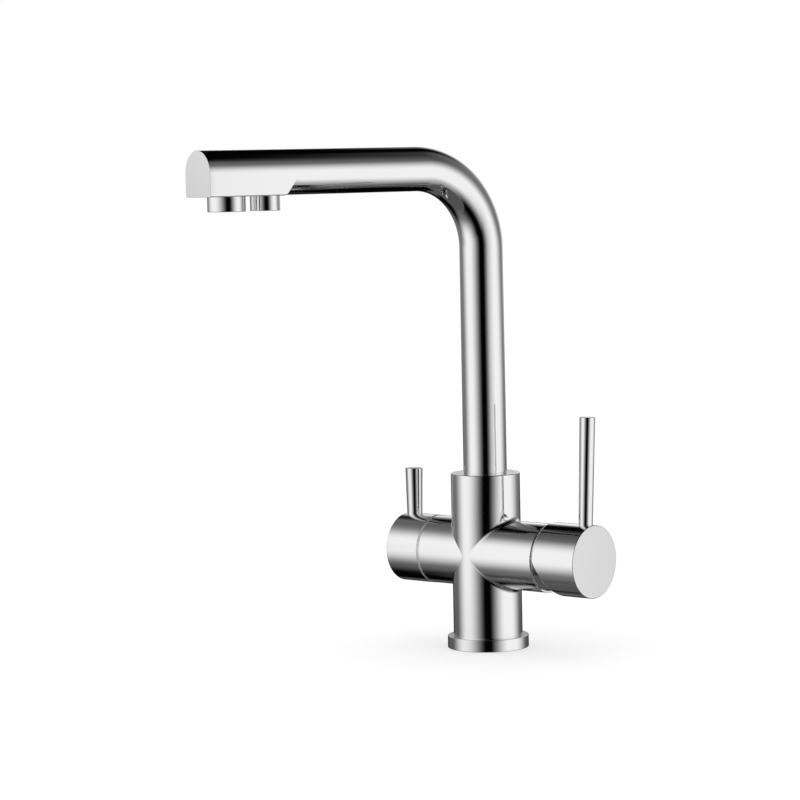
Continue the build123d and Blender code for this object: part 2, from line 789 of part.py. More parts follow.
def lever_seat(station, handle_radius, root_radius, lean):
    """Flat bottomed seat and threaded hole for a lever in the top of a handle."""
    gap = seat_clearance
    cut = rod("Z", root_radius + gap, -lever_seat_depth, 3.0)
    cut += rod("Z", lever_spigot_radius + gap, -lever_seat_depth - lever_spigot_length, 0)
    return Pos(station, 0, handle_radius) * Rot(0, lean, 0) * cut


def grub_screw_hole(station, handle_radius, inner):
    """Hole from the rear of a handle to the shaft inside it."""
    return rod("Y", grub_screw_radius + seat_clearance, inner, handle_radius, station, 0)


def grub_screw(station, inner):
    """Headless screw that clamps a handle to its shaft."""
    screw = keyed_screw(grub_screw_radius, grub_screw_length)
    return arm(Pos(station, inner + seat_clearance, 0) * Rot(-90, 0, 0) * screw)


# ------------------------------------------------------------------ filtered water valve
def filter_valve_housing():
    """Brass headwork with its disc chamber, a collar on the arm's end and a bush for the stem."""
    start = filter_disc_start
    outline = [
        (-start, headwork_chamber_radius),
        (-start, headwork_radius),
        (-filter_arm_end, headwork_radius),
        (-filter_arm_end, headwork_collar_radius),
        (-filter_arm_end - 2.5, headwork_collar_radius),
        (-filter_arm_end - 4.0, headwork_neck_radius),
        (-headwork_neck_end, headwork_neck_radius),
        (-headwork_neck_end, filter_stem_radius + running_clearance),
        (-headwork_chamber_end, filter_stem_radius + running_clearance),
        (-headwork_chamber_end, headwork_chamber_radius),
    ]
    return arm(turned("X", outline))


def filter_port_drills(start, end):
    """Two drillings, for water in and out, through a disc or seal of the headwork."""
    radius = filtered_drill_radius
    lower = rod("X", radius, -end, -start, 0, -filter_port_offset)
    upper = rod("X", radius, -end, -start, 0, filter_port_offset)
    return lower + upper


def filter_valve_seal():
    """Rubber seal between the arm's seat and the fixed disc."""
    disc = rod("X", headwork_radius - 1.5, -filter_disc_start, -headwork_seat)
    return arm(disc - filter_port_drills(headwork_seat, filter_disc_start))


def filter_fixed_disc():
    """Ceramic disc with the two ports, which stands still."""
    radius = headwork_chamber_radius - running_clearance
    disc = rod("X", radius, -filter_moving_disc_start, -filter_disc_start)
    return arm(disc - filter_port_drills(filter_disc_start, filter_moving_disc_start))


def filter_moving_disc():
    """Ceramic disc that the stem turns; its slot joins both ports after a quarter turn."""
    radius = headwork_chamber_radius - running_clearance
    disc = rod("X", radius, -filter_stem_start, -filter_moving_disc_start)
    slot_length = 2 * (filter_port_offset + filtered_drill_radius)
    slot_depth = filter_disc_thickness / 2
    middle = -filter_moving_disc_start - slot_depth / 2
    slot = Pos(middle, 0, 0) * Box(slot_depth, slot_length, 2 * filtered_drill_radius)
    return arm(disc - slot)


def filter_stem():
    """Turned stem with a driving flange, a groove for its seal and a fluted grip for the handle."""
    flange_radius_inside = headwork_chamber_radius - sliding_gap
    groove_half = filter_o_ring_section_radius + running_clearance
    groove_floor = filter_stem_radius - 2 * filter_o_ring_section_radius
    flange_end = filter_stem_start + filter_stem_flange_thickness
    outline = [
        (-filter_stem_start, 0),
        (-filter_stem_start, flange_radius_inside),
        (-flange_end, flange_radius_inside),
        (-flange_end, filter_stem_radius),
        (-filter_o_ring_station + groove_half, filter_stem_radius),
        (-filter_o_ring_station + groove_half, groove_floor),
        (-filter_o_ring_station - groove_half, groove_floor),
        (-filter_o_ring_station - groove_half, filter_stem_radius),
        (-filter_stem_end, filter_stem_radius),
        (-filter_stem_end, 0),
    ]
    return arm(turned("X", outline))


def filter_stem_o_ring():
    """Rubber ring in the groove of the stem."""
    centre = filter_stem_radius - filter_o_ring_section_radius
    seal = o_ring(centre, filter_o_ring_section_radius)
    return arm(Pos(-filter_o_ring_station, 0, 0) * Rot(0, 90, 0) * seal)


def filter_trim_ring():
    """Bright ring that shows in the joint between the arm and the filter handle."""
    inner = headwork_collar_radius + seat_clearance
    edge = filter_trim_ring_radius - filter_trim_ring_bevel
    end = filter_arm_end + filter_trim_ring_thickness
    outline = [
        (-filter_arm_end, inner),
        (-filter_arm_end, edge),
        (-filter_arm_end - filter_trim_ring_bevel, filter_trim_ring_radius),
        (-end + filter_trim_ring_bevel, filter_trim_ring_radius),
        (-end, edge),
        (-end, inner),
    ]
    return arm(turned("X", outline))


def filter_handle():
    """Cap of the filtered water valve."""
    cap = rod("X", filter_handle_radius, -filter_handle_end, -filter_handle_start)
    cap = fillet(cap.edges().filter_by(GeomType.CIRCLE), handle_edge_round)
    bore = filter_handle_radius - filter_handle_wall
    cap -= rod("X", bore, -filter_handle_floor, -filter_handle_start)
    cap -= rod("X", filter_stem_radius + seat_clearance, -filter_stem_end, -filter_handle_start)
    cap -= lever_seat(-filter_lever_station, filter_handle_radius, filter_lever_root_radius, 0)
    cap -= grub_screw_hole(-filter_handle_floor - 3.0, filter_handle_radius, filter_stem_radius)
    return arm(cap)


# ------------------------------------------------------------------ assembly
keep("tap_body", tap_body())
keep("base_flange", base_flange())
keep("base_seal", base_seal())
keep("spout_stop_screw", spout_stop_screw())
keep("filtered_feed_nipple", filtered_feed_nipple())

keep("spout_spigot", swivelled(spout_spigot()))
keep("spout_bearing_rings", swivelled(spout_bearing_rings()))
keep("spout_o_rings", swivelled(spout_o_rings()))
keep("spout_tube", swivelled(spout_tube()))
keep("spout_head", swivelled(spout_head()))
keep("filtered_feed_hose", swivelled(filtered_feed_hose()))
for outlet_name, (outlet_reach, outlet_radius) in outlets.items():
    keep(outlet_name + "_outlet_housing", swivelled(outlet_housing(outlet_reach, outlet_radius)))
    keep(outlet_name + "_outlet_insert", swivelled(outlet_insert(outlet_reach, outlet_radius)))
    keep(outlet_name + "_outlet_washer", swivelled(outlet_washer(outlet_reach, outlet_radius)))

keep("mixer_cartridge_housing", mixer_cartridge_housing())
keep("mixer_port_seals", mixer_port_seals())
keep("mixer_fixed_disc", mixer_fixed_disc())
keep("mixer_moving_disc", mixer_moving_disc())
keep("mixer_disc_driver", mixer_disc_driver())
keep("mixer_carrier", mixer_carrier())
keep("mixer_pivot_pin", mixer_pivot_pin())
keep("mixer_retaining_nut", mixer_retaining_nut())
keep("mixer_trim_ring", mixer_trim_ring())
keep("mixer_stem", mixer_stem())
keep("mixer_handle", mixer_handle())
keep(
    "mixer_lever",
    lever(
        mixer_lever_station,
        mixer_handle_radius,
        mixer_lever_root_radius,
        mixer_lever_tip_radius,
        mixer_lever_tip_height,
        mixer_lever_lean,
    ),
)
keep("mixer_grub_screw", grub_screw(mixer_lever_station - 2.0, stem_square / 2))

keep("filter_valve_housing", filter_valve_housing())
keep("filter_valve_seal", filter_valve_seal())
keep("filter_fixed_disc", filter_fixed_disc())
keep("filter_moving_disc", filter_moving_disc())
keep("filter_stem", filter_stem())
keep("filter_stem_o_ring", filter_stem_o_ring())
keep("filter_trim_ring", filter_trim_ring())
keep("filter_handle", filter_handle())
keep(
    "filter_lever",
    lever(
        -filter_lever_station,
        filter_handle_radius,
        filter_lever_root_radius,
        filter_lever_tip_radius,
        filter_lever_tip_height,
        0,
    ),
)
keep("filter_grub_screw", grub_screw(-filter_handle_floor - 3.0, filter_stem_radius))

os.makedirs("parts", exist_ok=True)
for part_name, part_shape in parts.items():
    export_step(part_shape, "parts/" + part_name + ".step")
    print(part_name, round(part_shape.volume, 1))
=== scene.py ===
"""Looks of the three way filtered water tap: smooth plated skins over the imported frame, and its studio.

Every surface is a numpy grid of points in metres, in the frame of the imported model: +Z up the column,
+X along the arm of the mixing valve, -Y to the front.
"""

import json
from math import acos, asin, atan2, cos, pi, radians, sin, sqrt, tan

import bmesh
import bpy
import numpy as np
from mathutils import Matrix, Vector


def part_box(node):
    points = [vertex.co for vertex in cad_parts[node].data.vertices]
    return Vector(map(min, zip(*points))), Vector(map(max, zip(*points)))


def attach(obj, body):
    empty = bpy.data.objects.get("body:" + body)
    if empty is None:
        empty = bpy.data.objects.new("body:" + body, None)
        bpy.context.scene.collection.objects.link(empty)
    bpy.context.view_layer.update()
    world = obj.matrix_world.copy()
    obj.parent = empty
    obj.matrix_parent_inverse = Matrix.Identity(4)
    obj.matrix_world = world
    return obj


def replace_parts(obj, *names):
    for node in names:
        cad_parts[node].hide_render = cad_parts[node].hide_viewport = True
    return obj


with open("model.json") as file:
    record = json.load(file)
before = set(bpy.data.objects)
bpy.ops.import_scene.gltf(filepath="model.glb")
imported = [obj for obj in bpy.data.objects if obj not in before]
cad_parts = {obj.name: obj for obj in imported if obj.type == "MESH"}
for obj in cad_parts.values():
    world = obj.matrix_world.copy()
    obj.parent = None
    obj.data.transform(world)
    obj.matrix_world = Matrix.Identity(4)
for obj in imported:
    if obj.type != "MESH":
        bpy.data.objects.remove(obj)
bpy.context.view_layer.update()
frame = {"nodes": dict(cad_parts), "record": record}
MM = 0.001

# ------------------------------------------------------------------ sizes read from the frame
body_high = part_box("tap_body")[1]
flange_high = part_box("base_flange")[1]
mixer_cap_low, mixer_cap_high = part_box("mixer_handle")
filter_cap_low, filter_cap_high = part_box("filter_handle")
spigot_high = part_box("spout_spigot")[1]
mixed_ring_low, mixed_ring_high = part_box("mixed_outlet_housing")
filtered_ring_low, filtered_ring_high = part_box("filtered_outlet_housing")
mixer_trim_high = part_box("mixer_trim_ring")[1]
filter_trim_low, filter_trim_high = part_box("filter_trim_ring")

column_radius = body_high.y
column_top = body_high.z
mixer_arm_end = body_high.x
flange_radius = flange_high.x
flange_top = flange_high.z
arm_axis = (mixer_cap_low.z + mixer_cap_high.z) / 2
mixer_cap_radius = mixer_cap_high.y
mixer_cap_start = mixer_cap_low.x
mixer_cap_end = mixer_cap_high.x
filter_cap_radius = filter_cap_high.y
filter_cap_end = filter_cap_low.x
mixer_trim_radius = mixer_trim_high.y
mixer_trim_end = mixer_trim_high.x
filter_trim_middle = (filter_trim_low.x + filter_trim_high.x) / 2
spigot_radius = spigot_high.y
spigot_top = spigot_high.z
tube_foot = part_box("spout_tube")[0].z
head_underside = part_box("spout_head")[0].z
outlet_mouth = mixed_ring_low.z
mixed_radius = (mixed_ring_high.x - mixed_ring_low.x) / 2
filtered_radius = (filtered_ring_high.x - filtered_ring_low.x) / 2
mixed_centre = (mixed_ring_low + mixed_ring_high) / 2
filtered_centre = (filtered_ring_low + filtered_ring_high) / 2
mixer_lever_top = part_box("mixer_lever")[1].z
filter_lever_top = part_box("filter_lever")[1].z

# ------------------------------------------------------------------ sizes that the frame doesn't give
small_round = 0.1 * MM
buried = 1.0 * MM
arm_radius = 22.1 * MM
arm_mouth_radius = 11.0 * MM
arm_mouth_depth = 3.0 * MM
column_edge_round = 0.7 * MM
arm_edge_round = 0.3 * MM
bead_edge_round = 0.03 * MM
bead_rise = 0.1 * MM
bead_width = 1.8 * MM
bead_near = filter_trim_middle + bead_width / 2
bead_far = filter_trim_middle - bead_width / 2
mixer_fillet = 3.0 * MM
filter_fillet = 1.2 * MM
fillet_sink = 0.004 * MM
fillet_root = 0.5 * MM
flange_edge_round = 0.4 * MM
flange_foot_round = 0.3 * MM
foot_radius = 18.5 * MM
foot_gap = 0.1 * MM
seal_groove_outer = 21.8 * MM
seal_groove_inner = 19.6 * MM
seal_groove_depth = 2.0 * MM
socket_radius = 17.55 * MM
socket_depth = 9.0 * MM
stud_hole_radius = 3.4 * MM
stud_hole_depth = 16.0 * MM
inlet_hole_radius = 4.5 * MM
inlet_hole_depth = 12.0 * MM
inlet_circle_radius = 11.0 * MM
inlet_angles = (60.0, -60.0, 180.0)
stud_thread_pitch = 1.25 * MM
inlet_thread_pitch = 1.0 * MM
thread_groove = 0.28 * MM
thread_lead_in = 0.6 * MM

spout_axis = 309.5 * MM
tube_radius = 14.0 * MM
bend_radius = 51.0 * MM
spout_reach = 212.0 * MM
swivel_at_rest = radians(-14.3)
heel_start = 149.5 * MM
heel_length = 7.3 * MM
heel_rise = 9.1 * MM
heel_round = 3.0 * MM
head_half_width = 13.9 * MM
head_depth = 14.1 * MM
head_edge_round = 0.2 * MM
head_corner_round = 1.1 * MM
head_ledge_limit = 3.0 * MM
rim_drop = 0.05 * MM
spigot_depth = 6.0 * MM
outlet_wall = 2.2 * MM
outlet_edge_round = 0.5 * MM
outlet_bore_round = 0.3 * MM
outlet_root = 3.0 * MM

mixer_pivot = 44.0 * MM
mixer_tilt = radians(25.0)
relief_plane = 52.7 * MM
mixer_cap_wall = 2.3 * MM
mixer_cap_floor = 75.0 * MM
stem_socket_start = 62.0 * MM
stem_socket_radius = 8.5 * MM
stem_radius = 4.5 * MM
stem_depth = 6.0 * MM
cap_edge_round = 0.5 * MM
cap_back_round = 1.5 * MM
filter_cap_wall = 2.3 * MM
filter_cap_floor = 54.0 * MM
filter_collar_radius = 14.0 * MM
filter_seam_gap = 0.02 * MM
collar_lip = 0.5 * MM

mixer_lever_station = 80.0 * MM
mixer_lever_root = 4.45 * MM
mixer_lever_tip = 4.95 * MM
mixer_lever_lean = radians(2.2)
filter_lever_station = -59.9 * MM
filter_lever_root = 4.95 * MM
filter_lever_tip = 5.65 * MM
lever_seat_depth = 1.6 * MM
lever_tip_round = 0.5 * MM
screw_hole_radius = 2.48 * MM
screw_key_depth = 2.0 * MM

# ------------------------------------------------------------------ camera
camera_place = (1189.47 * MM, -1493.83 * MM, 313.19 * MM)
camera_azimuth = radians(40.15)
camera_pitch = radians(-4.55)
camera_roll = radians(-1.21)
focal_pixels = 2970.73
picture_pixels = 800.0
sensor_width = 36.0

# ------------------------------------------------------------------ fineness of the meshes
TURN = 256
ROUND_STEPS = 8
FILLET_STEPS = 14
THREAD_TURN = 64
THREAD_ROWS = 8
HOLE_COLUMNS = 6
HOLE_RINGS = 6
SUPPORT = 0.04 * MM
SHARP_ROUND = 0.02 * MM
SHARP_ANGLE = radians(32)
# Rings of points on a flat face, as shares of the way from its middle or from a hole's rim.
CAP_FACE_RINGS = (0.3, 0.75)
HEAD_FACE_RINGS = (0.995, 0.6, 0.2, 0.0)
TUBE_FOOT_RINGS = (0.0, 0.9)
PLATE_RINGS = (0.0, 0.05, 0.5, 0.95, 1.0)

spout_way = np.array([sin(swivel_at_rest), -cos(swivel_at_rest), 0.0])
spout_side = np.array([cos(swivel_at_rest), sin(swivel_at_rest), 0.0])
UP = np.array([0.0, 0.0, 1.0])


# ------------------------------------------------------------------ meshes from grids
def grid_faces(rows, columns, wrap, start=0):
    """Four corners of each face of a grid, whose points are numbered row by row from start."""
    index = np.arange(rows * columns).reshape(rows, columns) + start
    if wrap:
        index = np.concatenate([index, index[:, :1]], axis=1)
    corners = [index[:-1, :-1], index[1:, :-1], index[1:, 1:], index[:-1, 1:]]
    return np.stack([corner.ravel() for corner in corners], axis=1)


def placed(name, mesh, material):
    """Object of a mesh with its one material, linked into the scene."""
    mesh.materials.append(material)
    thing = bpy.data.objects.new(name, mesh)
    bpy.context.scene.collection.objects.link(thing)
    return thing


def mesh_piece(name, body, material, grids):
    """One object from one or more grids of points, each wrapped as its own closed or open sheet.

    A grid is (points, wrap): points has the shape (rows, columns, 3), and wrap joins its last column
    to its first. Doubles are merged, which closes seams and poles, and the normals are made to face out.
    """
    vertices = []
    faces = []
    start = 0
    for points, wrap in grids:
        faces.append(grid_faces(*points.shape[:2], wrap, start))
        vertices.append(points.reshape(-1, 3))
        start += len(vertices[-1])
    vertices = np.concatenate(vertices)
    faces = np.concatenate(faces)
    mesh = bpy.data.meshes.new(name)
    mesh.vertices.add(len(vertices))
    mesh.vertices.foreach_set("co", vertices.astype(np.float32).ravel())
    mesh.loops.add(faces.size)
    mesh.loops.foreach_set("vertex_index", faces.astype(np.int32).ravel())
    mesh.polygons.add(len(faces))
    mesh.polygons.foreach_set("loop_start", np.arange(0, faces.size, 4, dtype=np.int32))
    mesh.update(calc_edges=True)
    work = bmesh.new()
    work.from_mesh(mesh)
    bmesh.ops.remove_doubles(work, verts=work.verts, dist=1e-7)
    bmesh.ops.recalc_face_normals(work, faces=work.faces)
    work.to_mesh(mesh)
    work.free()
    mesh.polygons.foreach_set("use_smooth", np.ones(len(mesh.polygons), dtype=bool))
    mesh.set_sharp_from_angle(angle=SHARP_ANGLE)
    piece = placed(name, mesh, material)
    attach(piece, body)
    return piece


def rounded(corners):
    """Outline through corners (station, radius, rounding), each rounding an arc that touches both sides.

    The arc's centre lies on the corner's bisector, and a support point stands just outside each end of
    it, so that the shading of the flats beside it stays flat.
    """
    points = np.array([corner[:2] for corner in corners], dtype=float)
    outline = []
    for number, corner in enumerate(corners):
        here = points[number]
        if number in (0, len(corners) - 1):
            outline.append(here)
            continue
        before = points[number - 1] - here
        after = points[number + 1] - here
        before = before / np.linalg.norm(before)
        after = after / np.linalg.norm(after)
        size = corner[2] if corner[2] else SHARP_ROUND
        half = np.arccos(np.clip(before @ after, -1, 1)) / 2
        setback = size / tan(half)
        bisector = (before + after) / np.linalg.norm(before + after)
        centre = here + bisector * size / sin(half)
        first = here + before * setback - centre
        last = here + after * setback - centre
        steps = ROUND_STEPS if corner[2] else 1
        share = np.linspace(0, 1, steps + 1)[:, None]
        spread = np.arccos(np.clip(first @ last / size**2, -1, 1))
        arc = (np.sin((1 - share) * spread) * first + np.sin(share * spread) * last) / sin(spread)
        outline.append(here + before * (setback + SUPPORT))
        outline.extend(centre + arc)
        outline.append(here + after * (setback + SUPPORT))
    return np.array(outline)


def turned(outline, axis, centre=(0.0, 0.0, 0.0), turn=TURN):
    """Surface of revolution: each outline point (station, radius) goes round the axis in a full circle."""
    angle = np.linspace(0, 2 * pi, turn, endpoint=False)[None, :]
    station = outline[:, 0][:, None] + 0 * angle
    across = outline[:, 1][:, None] * np.cos(angle)
    beside = outline[:, 1][:, None] * np.sin(angle)
    order = {"Z": (across, beside, station), "X": (station, across, beside)}[axis]
    return np.stack(order, axis=-1) + np.array(centre), True


def drilled(points, row, column, centre, along, wall, screw):
    """Rings of a round wall with a screw's hole drilled into it from +Y, between one ring and the next.

    The wall round the hole is a square patch: each point of the square's rim moves straight towards the
    hole's edge in the plane across the hole, while its depth keeps to the wall's radius. From the edge
    a bore runs straight to a floor inside the screw. "along" is the wall's own axis, 0 or 2.
    """
    aside = 2 - along
    steps = 2 * HOLE_COLUMNS
    share = np.linspace(0, 1, steps + 1)[:, None, None]
    band = np.roll(points[row] * (1 - share) + points[row + 1] * share, HOLE_COLUMNS - column, axis=1)
    square = band[:, : steps + 1]
    rim = np.concatenate([square[0, :-1], square[:-1, -1], square[-1, :0:-1], square[:0:-1, 0]])
    rim = rim[:, [along, aside]] - centre
    edge = rim / np.linalg.norm(rim, axis=1, keepdims=True) * screw_hole_radius
    share = np.linspace(0, 1, HOLE_RINGS + 1)[:, None, None]
    flat = rim * (1 - share) + edge * share
    depth = np.sqrt(wall**2 - flat[..., 1] ** 2)
    floor = (screw[0].y + screw[1].y - screw_key_depth) / 2
    flat = np.concatenate([flat, [edge, 0 * edge]])
    depth = np.concatenate([depth, np.full((2, depth.shape[1]), floor)])
    patch = np.empty(flat.shape[:2] + (3,))
    patch[..., along] = flat[..., 0] + centre[0]
    patch[..., aside] = flat[..., 1] + centre[1]
    patch[..., 1] = depth
    rest = np.concatenate([band[:, steps:], band[:, :1]], axis=1)
    return [(points[: row + 1], True), (points[row + 1 :], True), (rest, False), (patch, True)]


def drilled_turning(outline, axis, middle, wall, screw, column):
    """Surface of revolution with a screw's hole in its wall, half way along the screw's own place."""
    along = {"X": 0, "Z": 2}[axis]
    station = (screw[0][along] + screw[1][along]) / 2
    half = HOLE_COLUMNS * 2 * pi / TURN * wall
    place = int(np.argmax(outline[:, 0] > station))
    outline = np.insert(outline, place, [[station - half, wall], [station + half, wall]], axis=0)
    points, _ = turned(outline, axis, middle)
    centre = np.array([station, middle[2 - along]])
    return drilled(points, place, column, centre, along, wall, screw)


# ------------------------------------------------------------------ materials
polish_turns = (0.35, 1.25)
hairline_cut = (0.62, 0.72)
haze_span = (0.35, 0.7)
hairline_height = 0.01 * MM
drop_edge = (0.16, 0.24)
drop_cut = (0.56, 0.66)
spot_tint = (0.93, 0.93, 0.92)
spot_dulling = 0.12
gloss_span = (0.3, 0.7)
grains_to_a_patch = 20
grain_height = 0.1 * MM


def node_group(name, inputs, outputs):
    """Empty shader node group with named sockets; inputs are (name, kind, default)."""
    group = bpy.data.node_groups.new(name, "ShaderNodeTree")
    for label, kind, default in inputs:
        socket = group.interface.new_socket(name=label, in_out="INPUT", socket_type=kind)
        if default is not None:
            socket.default_value = default
    for label, kind in outputs:
        group.interface.new_socket(name=label, in_out="OUTPUT", socket_type=kind)
    return group, group.nodes.new("NodeGroupInput"), group.nodes.new("NodeGroupOutput")


def mapped(tree, source, low, high, out_low, out_high, kind="LINEAR"):
    """Value mapped from one range to another, between whose ends it stays."""
    node = tree.nodes.new("ShaderNodeMapRange")
    node.interpolation_type = kind
    node.inputs["From Min"].default_value = low
    node.inputs["From Max"].default_value = high
    node.inputs["To Min"].default_value = out_low
    node.inputs["To Max"].default_value = out_high
    tree.links.new(source, node.inputs["Value"])
    return node.outputs["Result"]


def combined(tree, operation, *values):
    """Result of a Math node whose inputs are sockets or plain numbers."""
    node = tree.nodes.new("ShaderNodeMath")
    node.operation = operation
    for socket, value in zip(node.inputs, values):
        if isinstance(value, (int, float)):
            socket.default_value = value
        else:
            tree.links.new(value, socket)
    return node.outputs[0]


def polish_marks():
    """Hairlines of the polishing wheel: noise drawn out fiftyfold along each of two directions.

    Lines is a mask of fine scratches, Haze a slow change over the surface, Normal the scratched normal.
    """
    group, source, result = node_group(
        "polish_marks",
        [("Scale", "NodeSocketFloat", 900.0), ("Depth", "NodeSocketFloat", 0.02)],
        [("Lines", "NodeSocketFloat"), ("Haze", "NodeSocketFloat"), ("Normal", "NodeSocketVector")],
    )
    nodes, links = group.nodes, group.links
    place = nodes.new("ShaderNodeTexCoord")
    masks = []
    for turn in polish_turns:
        stretch = nodes.new("ShaderNodeMapping")
        stretch.inputs["Rotation"].default_value = (turn, 0.2, turn * 1.7)
        stretch.inputs["Scale"].default_value = (1.0, 0.02, 1.0)
        links.new(place.outputs["Object"], stretch.inputs["Vector"])
        noise = nodes.new("ShaderNodeTexNoise")
        noise.inputs["Detail"].default_value = 2.0
        links.new(stretch.outputs["Vector"], noise.inputs["Vector"])
        links.new(source.outputs["Scale"], noise.inputs["Scale"])
        masks.append(mapped(group, noise.outputs["Fac"], *hairline_cut, 0.0, 1.0))
    lines = combined(group, "MAXIMUM", *masks)
    links.new(lines, result.inputs["Lines"])
    haze = nodes.new("ShaderNodeTexNoise")
    haze.inputs["Scale"].default_value = 38.0
    haze.inputs["Detail"].default_value = 5.0
    links.new(place.outputs["Object"], haze.inputs["Vector"])
    links.new(haze.outputs["Fac"], result.inputs["Haze"])
    bump = nodes.new("ShaderNodeBump")
    bump.inputs["Distance"].default_value = hairline_height
    links.new(source.outputs["Depth"], bump.inputs["Strength"])
    links.new(lines, bump.inputs["Height"])
    links.new(bump.outputs["Normal"], result.inputs["Normal"])
    return group


def water_spots():
    """Dried drops: small cells whose middles are kept where a coarser noise allows them."""
    group, source, result = node_group(
        "water_spots",
        [("Scale", "NodeSocketFloat", 220.0), ("Amount", "NodeSocketFloat", 0.5)],
        [("Spots", "NodeSocketFloat")],
    )
    nodes, links = group.nodes, group.links
    place = nodes.new("ShaderNodeTexCoord")
    cells = nodes.new("ShaderNodeTexVoronoi")
    links.new(place.outputs["Object"], cells.inputs["Vector"])
    links.new(source.outputs["Scale"], cells.inputs["Scale"])
    dots = mapped(group, cells.outputs["Distance"], *drop_edge, 1.0, 0.0)
    where = nodes.new("ShaderNodeTexNoise")
    where.inputs["Scale"].default_value = 60.0
    links.new(place.outputs["Object"], where.inputs["Vector"])
    allowed = mapped(group, where.outputs["Fac"], *drop_cut, 0.0, 1.0)
    kept = combined(group, "MULTIPLY", dots, allowed)
    links.new(combined(group, "MULTIPLY", kept, source.outputs["Amount"]), result.inputs["Spots"])
    return group


polish_group = polish_marks()
spots_group = water_spots()


def plated(name, tint, smooth, rough, scratch, spots, bump):
    """Polished metal: its roughness goes from smooth to rough with the haze, and hairlines and dried
    drops add to it."""
    material = bpy.data.materials.new(name)
    material.use_nodes = True
    tree = material.node_tree
    shader = tree.nodes["Principled BSDF"]
    shader.inputs["Metallic"].default_value = 1.0
    marks = tree.nodes.new("ShaderNodeGroup")
    marks.node_tree = polish_group
    marks.inputs["Depth"].default_value = bump
    drops = tree.nodes.new("ShaderNodeGroup")
    drops.node_tree = spots_group
    drops.inputs["Amount"].default_value = spots
    colour = tree.nodes.new("ShaderNodeMix")
    colour.data_type = "RGBA"
    colour.inputs["A"].default_value = (*tint, 1)
    colour.inputs["B"].default_value = (*(part * share for part, share in zip(tint, spot_tint)), 1)
    tree.links.new(drops.outputs["Spots"], colour.inputs["Factor"])
    tree.links.new(colour.outputs["Result"], shader.inputs["Base Color"])
    base = mapped(tree, marks.outputs["Haze"], *haze_span, smooth, rough)
    lined = combined(tree, "MULTIPLY_ADD", marks.outputs["Lines"], scratch, base)
    dulled = combined(tree, "MULTIPLY_ADD", drops.outputs["Spots"], spot_dulling, lined)
    tree.links.new(dulled, shader.inputs["Roughness"])
    tree.links.new(marks.outputs["Normal"], shader.inputs["Normal"])
    return material


def moulded(name, dark, light, smooth, rough, grain, depth):
    """Plastic, rubber or ceramic: a fine grain in height, and a slow change of colour and gloss."""
    material = bpy.data.materials.new(name)
    material.use_nodes = True
    tree = material.node_tree
    shader = tree.nodes["Principled BSDF"]
    place = tree.nodes.new("ShaderNodeTexCoord")
    slow = tree.nodes.new("ShaderNodeTexNoise")
    slow.inputs["Scale"].default_value = grain / grains_to_a_patch
    slow.inputs["Detail"].default_value = 4.0
    tree.links.new(place.outputs["Object"], slow.inputs["Vector"])
    colour = tree.nodes.new("ShaderNodeMix")
    colour.data_type = "RGBA"
    colour.inputs["A"].default_value = (*dark, 1)
    colour.inputs["B"].default_value = (*light, 1)
    tree.links.new(slow.outputs["Fac"], colour.inputs["Factor"])
    tree.links.new(colour.outputs["Result"], shader.inputs["Base Color"])
    gloss = mapped(tree, slow.outputs["Fac"], *gloss_span, smooth, rough)
    tree.links.new(gloss, shader.inputs["Roughness"])
    fine = tree.nodes.new("ShaderNodeTexNoise")
    fine.inputs["Scale"].default_value = grain
    fine.inputs["Detail"].default_value = 3.0
    tree.links.new(place.outputs["Object"], fine.inputs["Vector"])
    bump = tree.nodes.new("ShaderNodeBump")
    bump.inputs["Strength"].default_value = depth
    bump.inputs["Distance"].default_value = grain_height
    tree.links.new(fine.outputs["Fac"], bump.inputs["Height"])
    tree.links.new(bump.outputs["Normal"], shader.inputs["Normal"])
    return material


# Metals: tint, roughness from smooth to rough, what hairlines add to it, spots, depth of the hairlines.
chrome = plated("chrome_plate", (0.87, 0.87, 0.87), 0.05, 0.08, scratch=0.02, spots=0.12, bump=0.002)
satin = plated("satin_chrome", (0.92, 0.92, 0.92), 0.55, 0.62, scratch=0.05, spots=0.12, bump=0.05)
brass = plated("turned_brass", (0.78, 0.61, 0.33), 0.16, 0.30, scratch=0.10, spots=0.30, bump=0.10)
steel = plated("stainless_steel", (0.62, 0.62, 0.61), 0.18, 0.32, scratch=0.10, spots=0.20, bump=0.10)
# Others: dark and light tint, roughness from smooth to rough, scale and depth of the grain.
rubber = moulded(
    "black_rubber", (0.018, 0.018, 0.018), (0.035, 0.035, 0.035), 0.55, 0.75, grain=1800.0, depth=0.25
)
white_plastic = moulded(
    "white_plastic", (0.74, 0.74, 0.72), (0.82, 0.82, 0.80), 0.32, 0.48, grain=1500.0, depth=0.12
)
ceramic = moulded(
    "lapped_ceramic", (0.82, 0.81, 0.78), (0.90, 0.89, 0.86), 0.10, 0.20, grain=2500.0, depth=0.05
)
finishes = {
    "plated_brass": chrome,
    "bare_brass": brass,
    "stainless": steel,
    "seal_rubber": rubber,
    "white_plastic": white_plastic,
    "ceramic": ceramic,
}


# ------------------------------------------------------------------ column, arms and base
def column():
    """Column from the flange up, rounded at its top edge, with the socket for the spout inside."""
    outline = rounded(
        [
            (flange_top - buried, 0, 0),
            (flange_top - buried, column_radius, 0),
            (column_top, column_radius, column_edge_round),
            (column_top, socket_radius, small_round),
            (column_top - socket_depth, socket_radius, 0),
            (column_top - socket_depth, 0, 0),
        ]
    )
    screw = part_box("spout_stop_screw")
    return drilled_turning(outline, "Z", (0, 0, 0), column_radius, screw, TURN // 4)


